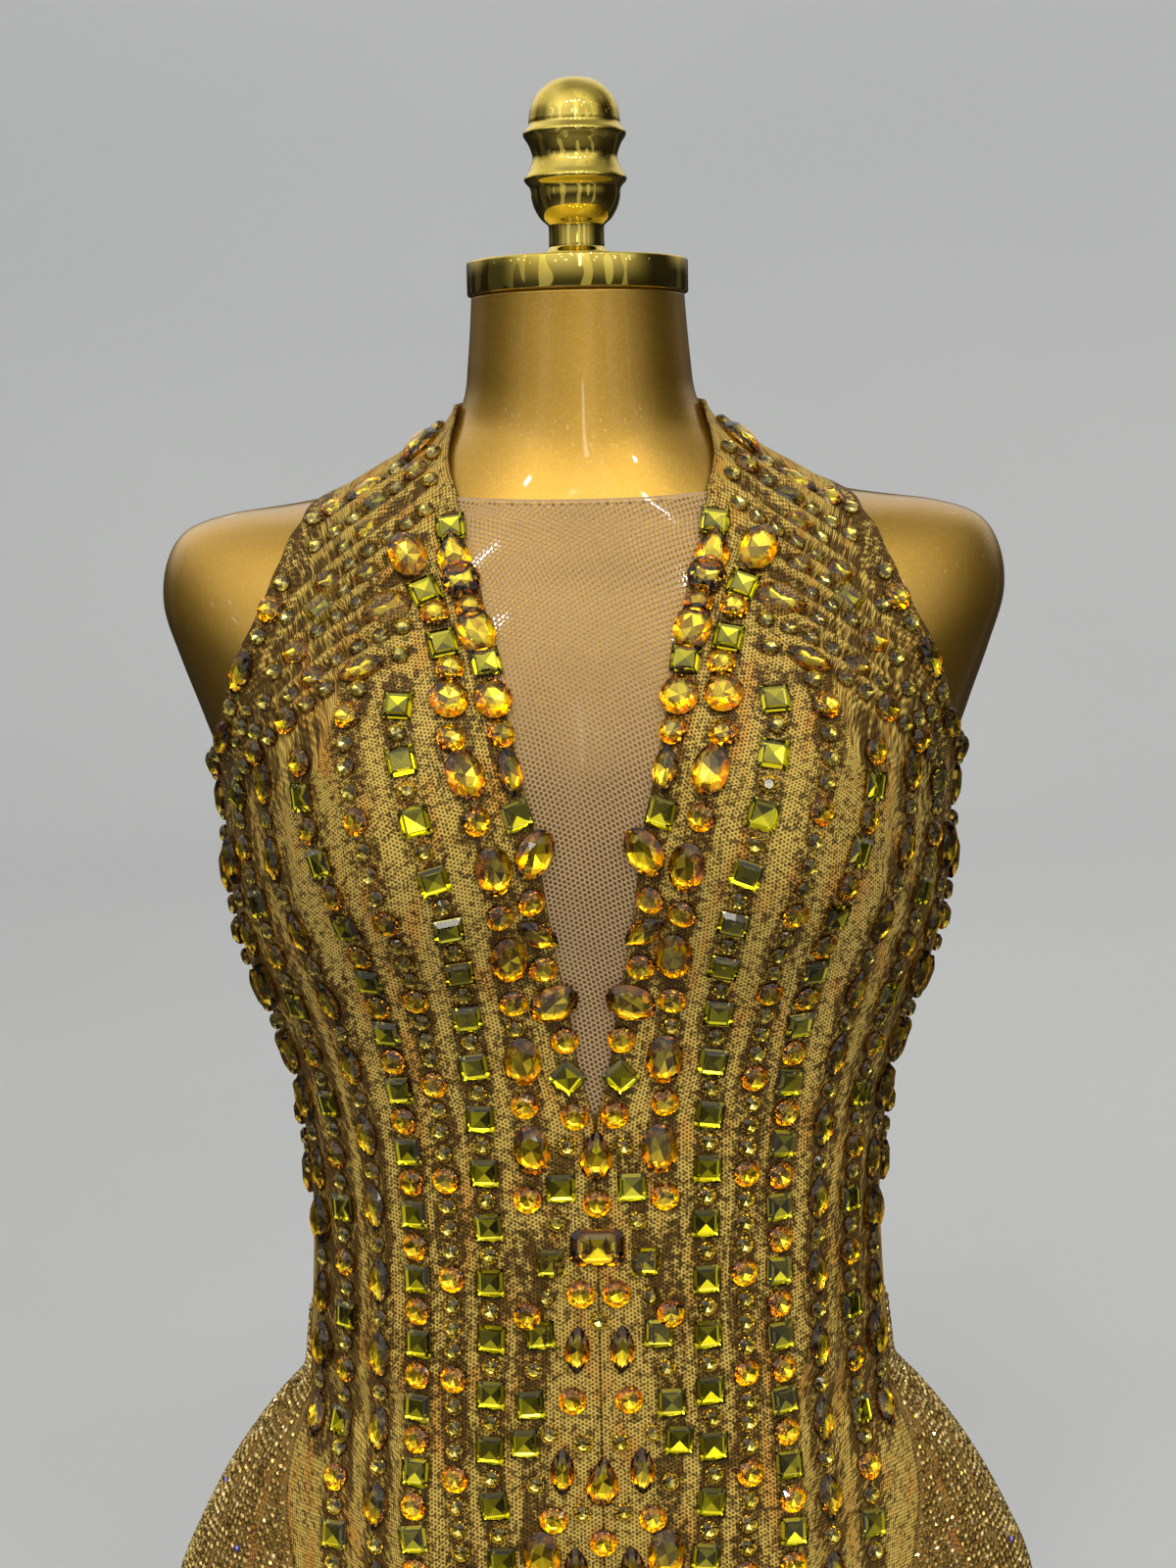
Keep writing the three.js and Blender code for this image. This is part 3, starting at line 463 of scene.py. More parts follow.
def edge_at(table, station):
    """An edge's angle in degrees, with the table's corners eased."""
    offsets = np.linspace(-0.35, 0.35, 9)
    weights = np.cos(offsets / 0.35 * np.pi / 2) + 0.05
    values = [np.interp(station + o, table[:, 0], table[:, 1]) for o in offsets]
    return np.tensordot(weights / weights.sum(), np.array(values), 1)


def leg_gap(angle, station):
    """How far a place is above the leg opening's line, in millimetres."""
    x, y, z = np.moveaxis(surface(angle, station), -1, 0)
    line = np.where(y < 5, np.interp(np.abs(x), *FRONT_LEG_LINE.T), np.interp(np.abs(x), *BACK_LEG_LINE.T))
    return z - line


def cut_station(above, low, high):
    """For each column, the station at which above(station) turns positive."""
    low, high = np.array(low, float), np.array(high, float)
    for _ in range(BISECTIONS):
        middle = (low + high) / 2
        inside = above(middle) > 0
        high, low = np.where(inside, middle, high), np.where(inside, low, middle)
    return high


def gap_angle(angle, station):
    span = np.linalg.norm(surface(angle + 0.01, station) - surface(angle - 0.01, station), axis=-1)
    return SEAM_GAP / 2 * 0.02 / span


def near_course(x, z, course):
    """Distance from places in the front view to a course, and how far along it they lie, 0 to 1."""
    course = np.array(course, float)
    best, share = np.full(x.shape, 1e9), np.zeros(x.shape)
    steps = len(course) - 1
    for i in range(steps):
        (x0, z0), (x1, z1) = course[i], course[i + 1]
        f = np.clip(((x - x0) * (x1 - x0) + (z - z0) * (z1 - z0)) / ((x1 - x0)**2 + (z1 - z0)**2), 0, 1)
        away = np.hypot(x - x0 - f * (x1 - x0), z - z0 - f * (z1 - z0))
        closer = away < best
        best, share = np.where(closer, away, best), np.where(closer, (i + f) / steps, share)
    return best, share


# Folds as course in the front view (x, z), height and half width in millimetres
FOLDS = [
    ([(5, 440), (10, 415), (17, 385), (25, 350), (30, 318)], 1.9, 2.4),
    ([(3, 436), (5, 405), (7, 372), (12, 330)], 1.2, 2.2),
    ([(12, 430), (20, 400), (31, 366), (38, 338)], 1.3, 2.2),
    ([(128, 470), (119, 440), (114, 405), (113, 366), (117, 325)], 1.3, 3.0),
    ([(140, 470), (127, 430), (121, 390), (121, 350), (126, 312)], 1.2, 2.8),
    ([(125, 335), (108, 310), (96, 280), (90, 245)], 1.1, 3.2),
    ([(122, 356), (101, 330), (86, 300), (80, 262)], 1.0, 3.0),
    ([(95, 540), (84, 512), (76, 480), (73, 446)], 0.9, 3.0),
    ([(40, 588), (38, 560), (33, 530), (28, 500)], 0.9, 2.6),
]
# The bib's gathers and the rows of stones between them fan out between two courses
BIB_LOW = np.array([(153, 594), (138, 613), (122, 628), (106, 640), (91, 648), (72, 654)], float)
BIB_HIGH = np.array([(110, 709), (100, 715), (90, 721), (80, 727), (70, 735), (60, 747)], float)
BIB_ROWS = 9


def bib_course(number):
    return BIB_LOW + (BIB_HIGH - BIB_LOW) * number / (BIB_ROWS - 1)


FOLDS += [(bib_course(number + 0.5), 3.2 if number % 2 else 2.5, 2.1) for number in range(BIB_ROWS)]


def fold_lift(x, z):
    lift = np.zeros(x.shape)
    for course, height, half in FOLDS:
        away, share = near_course(np.abs(x), z, course)
        taper = np.sin(np.pi * np.clip(0.04 + 0.92 * share, 0, 1))**0.7
        lift += height * taper * (np.exp(-(away / half)**2) - 0.35 * np.exp(-((away - 2.3 * half) / half)**2))
    return lift


def front_places(side, columns, rows):
    """The grid of angle and station of one front, from the leg opening to the neck."""
    shares = np.linspace(0, 1, columns)

    def angles_at(station, share):
        first = np.radians(edge_at(NECK_EDGE, station))
        last = np.radians(edge_at(OUTER_EDGE, station))
        first, last = first + gap_angle(first, station), last - gap_angle(last, station)
        return first + (last - first) * share

    bottom = cut_station(lambda t: leg_gap(angles_at(t, shares), t), np.full(columns, 0.6), np.full(columns, 9.0))
    rise = np.linspace(0, 1, rows)[:, None]
    station = bottom[None] + (WALL_TOP - bottom[None]) * rise
    share = np.broadcast_to(shares[None], station.shape)
    return side * angles_at(station, share), station


def spread(points):
    """Texture places of a grid in metres along the cloth, measured from its middle column and row."""
    rows, columns = points.shape[:2]
    along = np.concatenate([np.zeros((1, columns)), np.cumsum(np.linalg.norm(np.diff(points, axis=0), axis=-1), 0)])
    across = np.concatenate([np.zeros((rows, 1)), np.cumsum(np.linalg.norm(np.diff(points, axis=1), axis=-1), 1)], 1)
    return across, along


def cloth_sheet(name, points, material, band=None, side=1, joined=0.0, thick=CLOTH_THICK):
    """A shell of cloth from a grid of points in metres, with its texture places, hem and print bands.

    joined is 1 in the rows whose first column has no hem, because it meets the other half."""
    rows, columns = points.shape[:2]
    made = mesh_object(name, points.reshape(-1, 3), ring_faces(rows, columns, False))
    across, along = spread(points)
    hem = np.minimum(np.minimum(across + joined, across[:, -1:] - across), np.minimum(along, along[-1:] - along))
    across = across * side
    mesh = made.data
    values = {"hem": hem, "band": np.zeros(hem.shape) if band is None else band}
    for key, value in values.items():
        layer = mesh.attributes.new(key, "FLOAT", "POINT")
        layer.data.foreach_set("value", value.astype(np.float32).ravel())
    loops = np.zeros(len(mesh.loops), np.int32)
    mesh.loops.foreach_get("vertex_index", loops)
    uv = np.stack([across.ravel(), along.ravel()], -1)[loops]
    mesh.uv_layers.new(name="cloth").data.foreach_set("uv", uv.astype(np.float32).ravel())
    normal = mesh.polygons[len(mesh.polygons) // 2].normal
    middle = points[rows // 2, columns // 2] - (0, FORM_AXIS_Y / 1000, 0)
    if np.dot(normal[:2], middle[:2]) < 0:
        mesh.flip_normals()
    wall = made.modifiers.new("wall", "SOLIDIFY")
    wall.thickness, wall.offset = thick, -1.0
    apply_modifiers(made)
    made.data.materials.append(material)
    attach(made, "root")
    return made


def mesh_holes(tone, pitch):
    """Small round holes of a knitted net in rows set off by half: high in a hole and low on the thread."""
    place = tone.node("UVMap", {"uv_map": "cloth"})
    split = tone.node("SeparateXYZ", {}, {0: place})
    u, v = (Line(tone.tree, split.socket.node.outputs[k]) for k in (0, 1))
    turns_u = u * (2 * math.pi / (pitch * math.sqrt(3) / 2))
    turns_v = v * (2 * math.pi / pitch)
    waves = (turns_u, turns_u * 0.5 + turns_v, turns_u * 0.5 - turns_v)
    first, second, third = (wave.maths("COSINE", wave) for wave in waves)
    return first + second + third


def print_material(name, hole_pitch, pale, peach, brown):
    made, tone, shader = finish(name, sheen_weight=0.02, sheen_roughness=0.4, specular_ior_level=0.25)
    place = tone.node("UVMap", {"uv_map": "cloth"})
    long_place = tone.node("VectorMath", {"operation": "MULTIPLY"}, {0: place, 1: (1.0, 0.35, 1.0)})
    band = tone.node("Attribute", {"attribute_name": "band"}, out=2)
    hem = tone.node("Attribute", {"attribute_name": "hem"}, out=2)
    streak = tone.noise(long_place, 75, 3.0, 0.55)
    mottle = tone.noise(place, 330, 4.0, 0.65)
    wander = tone.noise(long_place, 130, 3.0, 0.6)
    curl = tone.noise(tone.node("VectorMath", {"operation": "ADD"}, {0: place, 1: (3.1, 1.7, 0.4)}), 210, 1.0)
    line = curl - 0.5
    vein = 1 - line.maths("ABSOLUTE", line).between(0.014, 0.034)
    patch = tone.noise(place, 95, 2.0).between(0.40, 0.50)
    ground = streak.between(0.50, 0.66).blend(pale, peach)
    shade = (band * 0.46 + (wander - 0.5) * 1.9 + (mottle - 0.5) * 1.5 + 0.14).between(0.24, 0.66)
    colour = shade.blend(ground, tuple(c * 2.3 for c in brown))
    fleck = ((mottle - 0.5) * 2.2 + band * 0.20).between(0.08, 0.30)
    spots = fleck.maths("MAXIMUM", vein * patch, fleck)
    colour = (spots * 0.85).blend(colour, brown)
    holes = mesh_holes(tone, hole_pitch).between(-0.3, 1.0)
    # The holes are painted dark brown: painted shade of the form under the cloth, seen through them.
    colour = (holes * 0.80).blend(colour, tuple(c * 0.35 for c in brown))
    edge = 1 - hem.between(0.0016, 0.0022)
    colour = (edge * 0.35).blend(colour, brown)
    height = (1 - holes) * 0.8 + edge * 1.2 + mottle * 0.2
    feed(shader, Base_Color=colour, Roughness=0.50 + holes * 0.3,
         Normal=tone.node("Bump", {}, {"Strength": 0.6, "Distance": 0.0005, "Height": height}))
    return made


CREAM, PEACH, BROWN = (0.69, 0.475, 0.100), (0.69, 0.35, 0.058), (0.070, 0.037, 0.005)
printed_mesh = print_material("printed_mesh", 0.0018, CREAM, PEACH, BROWN)

# Cuts: s square, r round, b cushion, o oval, m marquise, p pear, e rectangle, q square on its corner, d and
# t small rounds. Stone courses in the front view are the cuts in order and the course's x and z.
COLUMNS = {
    "third": ("sd", [(30, 135), (38, 210), (48, 300), (46, 350), (46, 409), (49, 465), (55, 524), (61, 556),
                     (68, 581), (74, 607), (77, 624), (76, 640)]),
    "fourth": ("rddd", [(52, 160), (58, 210), (63, 290), (62, 387), (64, 435), (69, 484), (77, 530), (84, 552),
                        (92, 587), (97, 612), (97, 628), (92, 640)]),
    "fifth": ("sr", [(76, 178), (80, 215), (82, 273), (79, 315), (77, 363), (78, 420), (82, 462), (87, 496),
                     (95, 531), (107, 566), (115, 590), (117, 608), (113, 622)]),
    "sixth": ("md", [(97, 205), (100, 240), (98, 275), (95, 325), (94, 378), (96, 430), (100, 460), (108, 496),
                     (119, 531), (130, 560), (134, 590), (133, 608)]),
    "seventh": ("dsdr", [(118, 250), (116, 290), (111, 325), (109, 370), (110, 410), (114, 451), (124, 492),
                         (136, 531), (145, 565), (148, 590), (146, 607)]),
    "eighth": ("mdo", [(126, 300), (121, 340), (120, 380), (121, 420), (127, 460), (139, 500), (150, 540),
                       (155, 575)]),
    "second low": ("rord", [(14, 118), (22, 200), (29, 300), (31, 402)]),
    "centre side": ("dssd", [(8, 118), (20, 190), (31, 250), (30, 276)]),
}
BIB_CUTS = ["mdrdrdd", "dddsdrd", "rdmrdos", "ddrdddr", "osdrmdr", "ddrdddd", "mdrodrs", "dddsdrd", "rmdodrd"]
for number, cuts in enumerate(BIB_CUTS):
    COLUMNS[f"bib {number}"] = (cuts, [tuple(p) for p in bib_course(number)])
# Two columns follow the armhole and the side: the cuts, how far inside the edge, first and last station
EDGE_COLUMNS = [("mdrdmd", 6.0, 13.2, 26.2, 40), ("dtmtdrt", 16.0, 13.6, 21.2, 30)]
for number, (cuts, inside, bottom, top, steps) in enumerate(EDGE_COLUMNS):
    stations = np.linspace(bottom, top, steps)
    edge = np.radians(edge_at(OUTER_EDGE, stations))
    span = np.linalg.norm(surface(edge, stations) - surface(edge - 0.05, stations), axis=-1) / 0.05
    course = surface(edge - inside / span, stations)
    COLUMNS[f"edge {number}"] = (cuts, [(x, z) for x, _, z in course])
NECK_COLUMN = [("s", 55, 704), ("p", 54, 693), ("b", 51, 682), ("r", 47.5, 671), ("o", 45, 661), ("s", 41.5, 649),
               ("b", 39, 634.5), ("r", 36, 621), ("m", 33, 606), ("s", 31, 589), ("o", 24, 573, -0.6, 1.0),
               ("r", 25.5, 553), ("m", 23, 539, 1.0, 0.6), ("r", 21, 523), ("o", 16.5, 507, -1.0, 0.4),
               ("r", 12, 490), ("q", 11.5, 473), ("r", 8.5, 456)]
SECOND_COLUMN = [("o", 73, 692), ("s", 66, 678), ("r", 62, 669), ("s", 59, 657), ("r", 56, 647), ("b", 56.5, 635),
                 ("r", 56, 620), ("o", 51, 606), ("r", 47, 588), ("o", 41, 568), ("r", 38.5, 548), ("o", 35, 529),
                 ("r", 33.5, 508), ("d", 33, 496), ("o", 30, 481), ("r", 29.5, 461), ("o", 27, 441), ("r", 29, 419)]
CENTRE = [("d", 12, 442), ("s", 15, 424), ("d", 17, 409), ("s", 20, 391), ("r", 7.5, 378), ("d", 22, 376),
          ("s", 25, 360), ("m", 9.5, 354), ("d", 28, 345), ("r", 12, 332), ("s", 30, 330), ("d", 22, 317),
          ("s", 33, 313), ("m", 17, 301), ("d", 8, 313), ("r", 21, 280), ("m", 12, 258), ("r", 20, 238),
          ("m", 9, 214), ("r", 9, 190), ("d", 9, 283)]
MIDDLE = [("p", 0, 439), ("r", 0, 417), ("e", 0, 398), ("p", 0, 297), ("r", 0, 270), ("m", 0, 236), ("d", 0, 366)]
# Width, length and height of each cut
CUT_SIZES = {"s": (12.4, 12.4, 3.6), "r": (12.0, 12.0, 4.2), "b": (16.5, 17.4, 5.0), "o": (16.0, 22.0, 5.0),
             "m": (10.8, 21.0, 4.2), "p": (15.6, 22.0, 5.0), "e": (23.5, 16.2, 4.8), "q": (12.6, 12.6, 3.6),
             "d": (7.9, 7.9, 3.1), "t": (5.4, 5.4, 2.3)}
STONE_SPACE = 2.0
CLOSEST = 0.84
BAND_REACH, BAND_EDGE, BAND_BUST, BUST_REACH = 8.0, 3.2, 0.55, 30


def angle_at_x(x, station):
    ring = ring_at(station)
    share = np.clip(np.abs(x) / ring[..., 3], 0, 1)
    return np.arcsin(share**(ring[..., 6] / 2))


def place_at(x, z):
    """Angle and station of places in the front view."""
    x, z = np.asarray(x, float), np.asarray(z, float)
    low, high = np.zeros(x.shape), np.full(x.shape, float(TOP_STATION))
    for _ in range(BISECTIONS):
        middle = (low + high) / 2
        under = surface(angle_at_x(x, middle), middle)[..., 2] < z
        low, high = np.where(under, middle, low), np.where(under, high, middle)
    station = (low + high) / 2
    return angle_at_x(x, station), station


def run_of(points):
    """How far along a line of points each one lies."""
    return np.concatenate([[0], np.cumsum(np.linalg.norm(np.diff(points, axis=0), axis=-1))])


def stones_along(cuts, course):
    """Stones set one after another along a course, a space apart."""
    course = np.array(course, float)
    fine = np.linspace(0, len(course) - 1, COURSE_STEPS)
    x = np.interp(fine, np.arange(len(course)), course[:, 0])
    z = np.interp(fine, np.arange(len(course)), course[:, 1])
    run = run_of(surface(*place_at(x, z)))
    stones, along, k = [], 0.0, 0
    while True:
        cut = cuts[k % len(cuts)]
        long = CUT_SIZES[cut][1]
        centre = along + long / 2
        if centre > run[-1]:
            return stones
        ahead_of = [np.interp(centre + d, run, v) for d in (-2, 2) for v in (x, z)]
        stones.append((cut, np.interp(centre, run, x), np.interp(centre, run, z),
                       ahead_of[2] - ahead_of[0], ahead_of[3] - ahead_of[1]))
        along, k = centre + long / 2 + STONE_SPACE, k + 1


def stones_listed(rows):
    """Stones at listed places, each turned along the line through its neighbours, or as listed."""
    made = []
    for i, (cut, x, z, *turned) in enumerate(rows):
        x0, z0 = rows[min(i + 1, len(rows) - 1)][1:3]
        x1, z1 = rows[max(i - 1, 0)][1:3]
        made.append((cut, x, z, *(turned or (x1 - x0, z1 - z0))))
    return made


def spaced(fixed, more):
    """The fixed stones, and those of the others that have room beside the earlier ones."""
    stones = fixed + more
    places = surface(*place_at([s[1] for s in stones], [s[2] for s in stones]))
    sizes = np.array([(CUT_SIZES[s[0]][0] * 2 + CUT_SIZES[s[0]][1]) / 6 for s in stones])
    kept = list(range(len(fixed)))
    for i in range(len(fixed), len(stones)):
        apart = np.linalg.norm(places[kept] - places[i], axis=-1)
        if (apart > CLOSEST * (sizes[kept] + sizes[i])).all():
            kept.append(i)
    return [stones[i] for i in kept]


middle_stones = [(cut, x, z, 0.0, 1.0) for cut, x, z in MIDDLE]
half_stones = middle_stones + stones_listed(NECK_COLUMN) + stones_listed(SECOND_COLUMN)
half_stones += [(cut, x, z, 0.0, 1.0) for cut, x, z in CENTRE]
half_stones = spaced(half_stones, [stone for cuts, course in COLUMNS.values()
                                   for stone in stones_along(cuts, course)])
all_stones = [(1, *s) for s in half_stones]
all_stones += [(-1, *s) for s in half_stones if s not in middle_stones]

band_courses = [(course, 2.8 if name.startswith("bib") else 1.0) for name, (_, course) in COLUMNS.items()]
band_courses += [([row[1:3] for row in rows], 1.0) for rows in (NECK_COLUMN, SECOND_COLUMN)]
band_courses += [([(12, 442), (15, 424), (20, 391), (25, 360), (33, 313)], 1.2), ([(0, 440), (0, 398)], 1.2)]


def print_band(x, z):
    """How near a place is to a stone column, 1 below the stones and 0 between the columns."""
    best = np.full(x.shape, 1e9)
    for course, crowded in band_courses:
        best = np.minimum(best, near_course(np.abs(x), z, course)[0] * crowded)
    # Round each bust apex the bands are fainter: partly the print stretched there, partly a painted highlight.
    bust_stretch_and_highlight = np.exp(-((np.abs(x) - 80)**2 + (z - 575)**2) / 2 / BUST_REACH**2)
    return np.clip((BAND_REACH - best) / BAND_EDGE, 0, 1) * (1 - BAND_BUST * bust_stretch_and_highlight)


FRONT_COLUMNS, FRONT_ROWS = 84, 310
for side, node in ((-1, "front_left"), (1, "front_right")):
    angle, station = front_places(side, FRONT_COLUMNS, FRONT_ROWS)
    flat = surface(angle, station)
    lift = CLOTH_LIFT + fold_lift(flat[..., 0], flat[..., 2])
    points = in_frame(lifted(angle, station, lift))
    cloth = cloth_sheet(node + "_cloth", points, printed_mesh, print_band(flat[..., 0], flat[..., 2]), side,
                        (station[:, :1] < NECK_EDGE[1, 0]).astype(float))
    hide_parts(node)


# The net in the neckline is fine nude powder net, held flat between the two fronts, with a plain cut
# edge at the neck.
NET_TIP, NET_TOP = 15.0, 27.35
NET_COLUMNS, NET_ROWS = 40, 130
NET_TUCK, NET_LIFT = 0.012, 1.35
station = np.broadcast_to(np.linspace(NET_TIP, NET_TOP, NET_ROWS)[:, None], (NET_ROWS, NET_COLUMNS))
half = np.radians(edge_at(NECK_EDGE, station)) + NET_TUCK
angle = half * np.linspace(-1, 1, NET_COLUMNS)[None]
net_points = in_frame(lifted(angle, station, np.full(angle.shape, NET_LIFT)))
nude_net, tone, shader = finish("nude_net", roughness=0.75, sheen_weight=0.2)
holes = mesh_holes(tone, 0.0022).between(-0.8, 0.2)
hem = tone.node("Attribute", {"attribute_name": "hem"}, out=2)
cut_edge = 1 - hem.between(0.0006, 0.0012)
place = tone.node("UVMap", {"uv_map": "cloth"})
threads = 0.84 - holes * 0.84 + tone.noise(place, 40, 2.0) * 0.06
feed(shader, Base_Color=tone.noise(place, 25).between(0.3, 0.7).blend((0.49, 0.34, 0.19), (0.55, 0.38, 0.21)),
     Alpha=threads.maths("MAXIMUM", threads, cut_edge * 0.8))
net = cloth_sheet("neckline_net_cloth", net_points, nude_net, thick=0.0002)
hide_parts("neckline_net")


# The stones are faceted glass over a foiled back, each in a metal cup that is sewn on through the mesh.
# Squares are olive, the other large ones amber, and the small rounds between them smoky gold. The foil's
# facets get bright and dark tints at random, painted glints and painted shade inside the stones, and the
# cups' dark bronze is partly their metal and partly a painted shadow ring round each stone.
GLASS_IOR = 1.58
STONE_TILT = 0.045


def brilliant(outline, table=0.50, star=0.80):
    """Crown and foiled back of a stone whose outline has 16 points: points, faces and what each face is."""
    ring = np.array(outline)
    middles = (ring[::2] + np.roll(ring[::2], -1, 0)) / 2
    reach = np.linalg.norm(ring[1::2], axis=1, keepdims=True)
    middles = middles / np.linalg.norm(middles, axis=1, keepdims=True) * reach
    points = [*[(x, y, 0.42) for x, y in ring], *[(x * star, y * star, 0.76) for x, y in middles],
              *[(x * table, y * table, 1.0) for x, y in ring[::2]],
              *[(x * 0.52, y * 0.52, 0.20) for x, y in middles], (0, 0, 0.06)]
    a, b, c, q, culet = 0, 16, 24, 32, 40
    faces, kinds = [tuple(c + k for k in range(8))], ["table"]
    for k in range(8):
        n, m = (k + 1) % 8, (k - 1) % 8
        faces += [(a + 2 * k, a + 2 * k + 1, b + k), (a + 2 * k + 1, a + 2 * n, b + k),
                  (a + 2 * k, b + k, c + k, b + m), (b + k, c + n, c + k)]
        kinds += ["crown"] * 4
        faces += [(a + 2 * k, q + k, a + 2 * k + 1), (a + 2 * k + 1, q + k, a + 2 * n),
                  (a + 2 * k, q + m, q + k), (q + k, q + m, culet)]
        kinds += ["rim", "rim", "back", "heart"]
    return cupped(points, faces, kinds, 16)


def cupped(points, faces, kinds, sides):
    """The stone with the wall of its metal cup, from the girdle down to the cloth."""
    cup = len(points)
    points = points + [(x * 0.97, y * 0.97, -0.06) for x, y, _ in points[:sides]]
    for k in range(sides):
        m = (k + 1) % sides
        faces.append((k, cup + k, cup + m, m))
        kinds.append("cup")
    return points, faces, kinds


def step_cut(corners, table, star=None):
    """A stone with flat bevels round its table, over a pyramid of foil."""
    n = len(corners)
    rings = [(1.0, 0.42), ((1 + table) / 2 + 0.03, 0.80), (table, 1.0)] if star else [(1.0, 0.45), (table, 1.0)]
    points = [(x * s, y * s, z) for s, z in rings for x, y in corners]
    faces, kinds = [], []
    for i in range(len(rings) - 1):
        for k in range(n):
            m = (k + 1) % n
            faces.append((i * n + k, i * n + m, (i + 1) * n + m, (i + 1) * n + k))
            kinds.append("crown")
    faces.append(tuple((len(rings) - 1) * n + k for k in range(n)))
    kinds.append("table")
    q = len(points)
    points += [(x * 0.6, y * 0.6, 0.22) for x, y in corners] + [(0, 0, 0.06)]
    for k in range(n):
        m = (k + 1) % n
        faces += [(k, q + k, q + m, m), (q + k, q + n, q + m)]
        kinds += ["rim", "heart"]
    return cupped(points, faces, kinds, n)


turns = np.arange(16) * np.pi / 8
round_line = [(-math.sin(a), math.cos(a)) for a in turns]
pear_line = [(-math.sin(a) * math.sin(a / 2)**0.9 * 1.18, math.cos(a)) for a in turns]
leaf_line = [(-math.copysign(abs(math.sin(a))**1.6, math.sin(a)), math.cos(a)) for a in turns]
CUT_SHAPES = {
    "s": step_cut([(1, 1), (-1, 1), (-1, -1), (1, -1)], 0.66), "r": brilliant(round_line),
    "b": brilliant(round_line), "o": brilliant(round_line, 0.55), "m": brilliant(leaf_line, 0.46),
    "p": brilliant(pear_line, 0.5), "d": brilliant(round_line, 0.5), "t": brilliant(round_line, 0.5),
    "e": step_cut([(0.72, 1), (-0.72, 1), (-1, 0.62), (-1, -0.62), (-0.72, -1), (0.72, -1), (1, -0.62), (1, 0.62)],
                  0.52, True),
    "q": step_cut([(1, 1), (-1, 1), (-1, -1), (1, -1)], 0.66)}


def stone_frame(side, x, z, dx, dz, lift):
    """The place and the directions of a stone on one half: along its column, across it, and out."""
    size = math.hypot(dx, dz) or 1.0
    angle, station = place_at(np.array([x, x + dx / size * 2]), np.array([z, z + dz / size * 2]))
    out = directions(angle, station)[2]
    points = surface(angle, station) + out * (lift + fold_lift(np.array([x, x]), np.array([z, z]))[:, None])
    along = points[1] - points[0]
    along -= out[0] * np.dot(along, out[0])
    along /= np.linalg.norm(along)
    flip = np.array([side, 1, 1])
    centre, along, outward = points[0] * flip, along * flip, out[0] * flip
    return centre, along, np.cross(along, outward), outward


def tint_facets(made, tints):
    """Gives each face of a mesh its own colour, which the foil's material reads."""
    rows = np.concatenate([tints, np.ones((len(tints), 1))], 1)
    rows = np.repeat(rows, [len(face.vertices) for face in made.data.polygons], axis=0)
    layer = made.data.attributes.new("tint", "FLOAT_COLOR", "CORNER")
    layer.data.foreach_set("color", rows.astype(np.float32).ravel())


def stone_mesh(name, stones, materials, foil_tints_glints_and_shade, seed):
    """One mesh of many stones, with a colour for each facet."""
    chance = np.random.default_rng(seed)
    points, faces, slots, tints = [], [], [], []
    for side, cut, x, z, dx, dz in stones:
        wide, long, high = CUT_SIZES[cut]
        shape, shape_faces, kinds = CUT_SHAPES[cut]
        centre, along, across, out = stone_frame(side, x, z, dx, dz, CLOTH_LIFT)
        tilt_a, tilt_b, spin = chance.normal(0, STONE_TILT, 3)
        spin += math.pi / 4 if cut == "q" else 0
        along, across = (along * math.cos(spin) + across * math.sin(spin),
                         across * math.cos(spin) - along * math.sin(spin))
        out = out + along * tilt_a + across * tilt_b
        out /= np.linalg.norm(out)
        start = len(points)
        local = np.array(shape) * (wide / 2, long / 2, high)
        world_points = centre + local[:, :1] * across + local[:, 1:2] * along + local[:, 2:] * out
        points += [tuple(p) for p in in_frame(world_points)]
        for face, kind in zip(shape_faces, kinds):
            faces.append(tuple(start + k for k in face))
            slots.append(0 if kind in ("crown", "table") else 1)
            # Each facet takes a bright or dark tint at random: painted glints and painted shade.
            options = foil_tints_glints_and_shade[kind] if kind in foil_tints_glints_and_shade else foil_tints_glints_and_shade["rim"]
            tints.append(options[chance.integers(len(options))])
    made = mesh_object(name, points, faces, smooth=False)
    tint_facets(made, np.array(tints))
    for material in materials:
        made.data.materials.append(material)
    made.data.polygons.foreach_set("material_index", slots)
    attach(made, "root")
    return made


def glass(name, colour):
    made, tone, shader = finish(name, roughness=0.0, ior=GLASS_IOR, transmission_weight=1.0)
    place = tone.node("TexCoord", out=3)
    feed(shader, Base_Color=tone.noise(place, 40).between(0.3, 0.7)
         .blend(colour, tuple(min(c * 1.06, 1.0) for c in colour)))
    return made


stone_foil, tone, shader = finish("stone_foil", metallic=1.0, roughness=0.06)
feed(shader, Base_Color=tone.node("Attribute", {"attribute_name": "tint"}, out=0))
# The cups' dark bronze is partly their metal and partly a painted shadow ring round each stone.
CUP = [(0.42, 0.27, 0.05), (0.34, 0.21, 0.04)]
# Bright and dark facet tints are painted glints and painted shade. On the olive squares the bright rims are painted
# highlights on the bevels, and the dark hearts are painted shade.
AMBER = {"cup": CUP, "rim": [(0.92, 0.50, 0.02), (0.85, 0.40, 0.01), (0.96, 0.62, 0.03)],
         "back": [(0.98, 0.76, 0.04), (0.42, 0.23, 0.01), (0.96, 0.84, 0.10), (0.80, 0.54, 0.02)],
         "heart": [(0.98, 0.88, 0.10), (0.30, 0.22, 0.01), (0.88, 0.80, 0.06), (0.56, 0.46, 0.03)]}
OLIVE = {"cup": CUP, "rim": [(0.92, 0.82, 0.06), (0.82, 0.75, 0.04), (0.98, 0.92, 0.18)],
         "heart": [(0.32, 0.29, 0.01), (0.46, 0.42, 0.02), (0.25, 0.23, 0.01), (0.62, 0.57, 0.03)]}
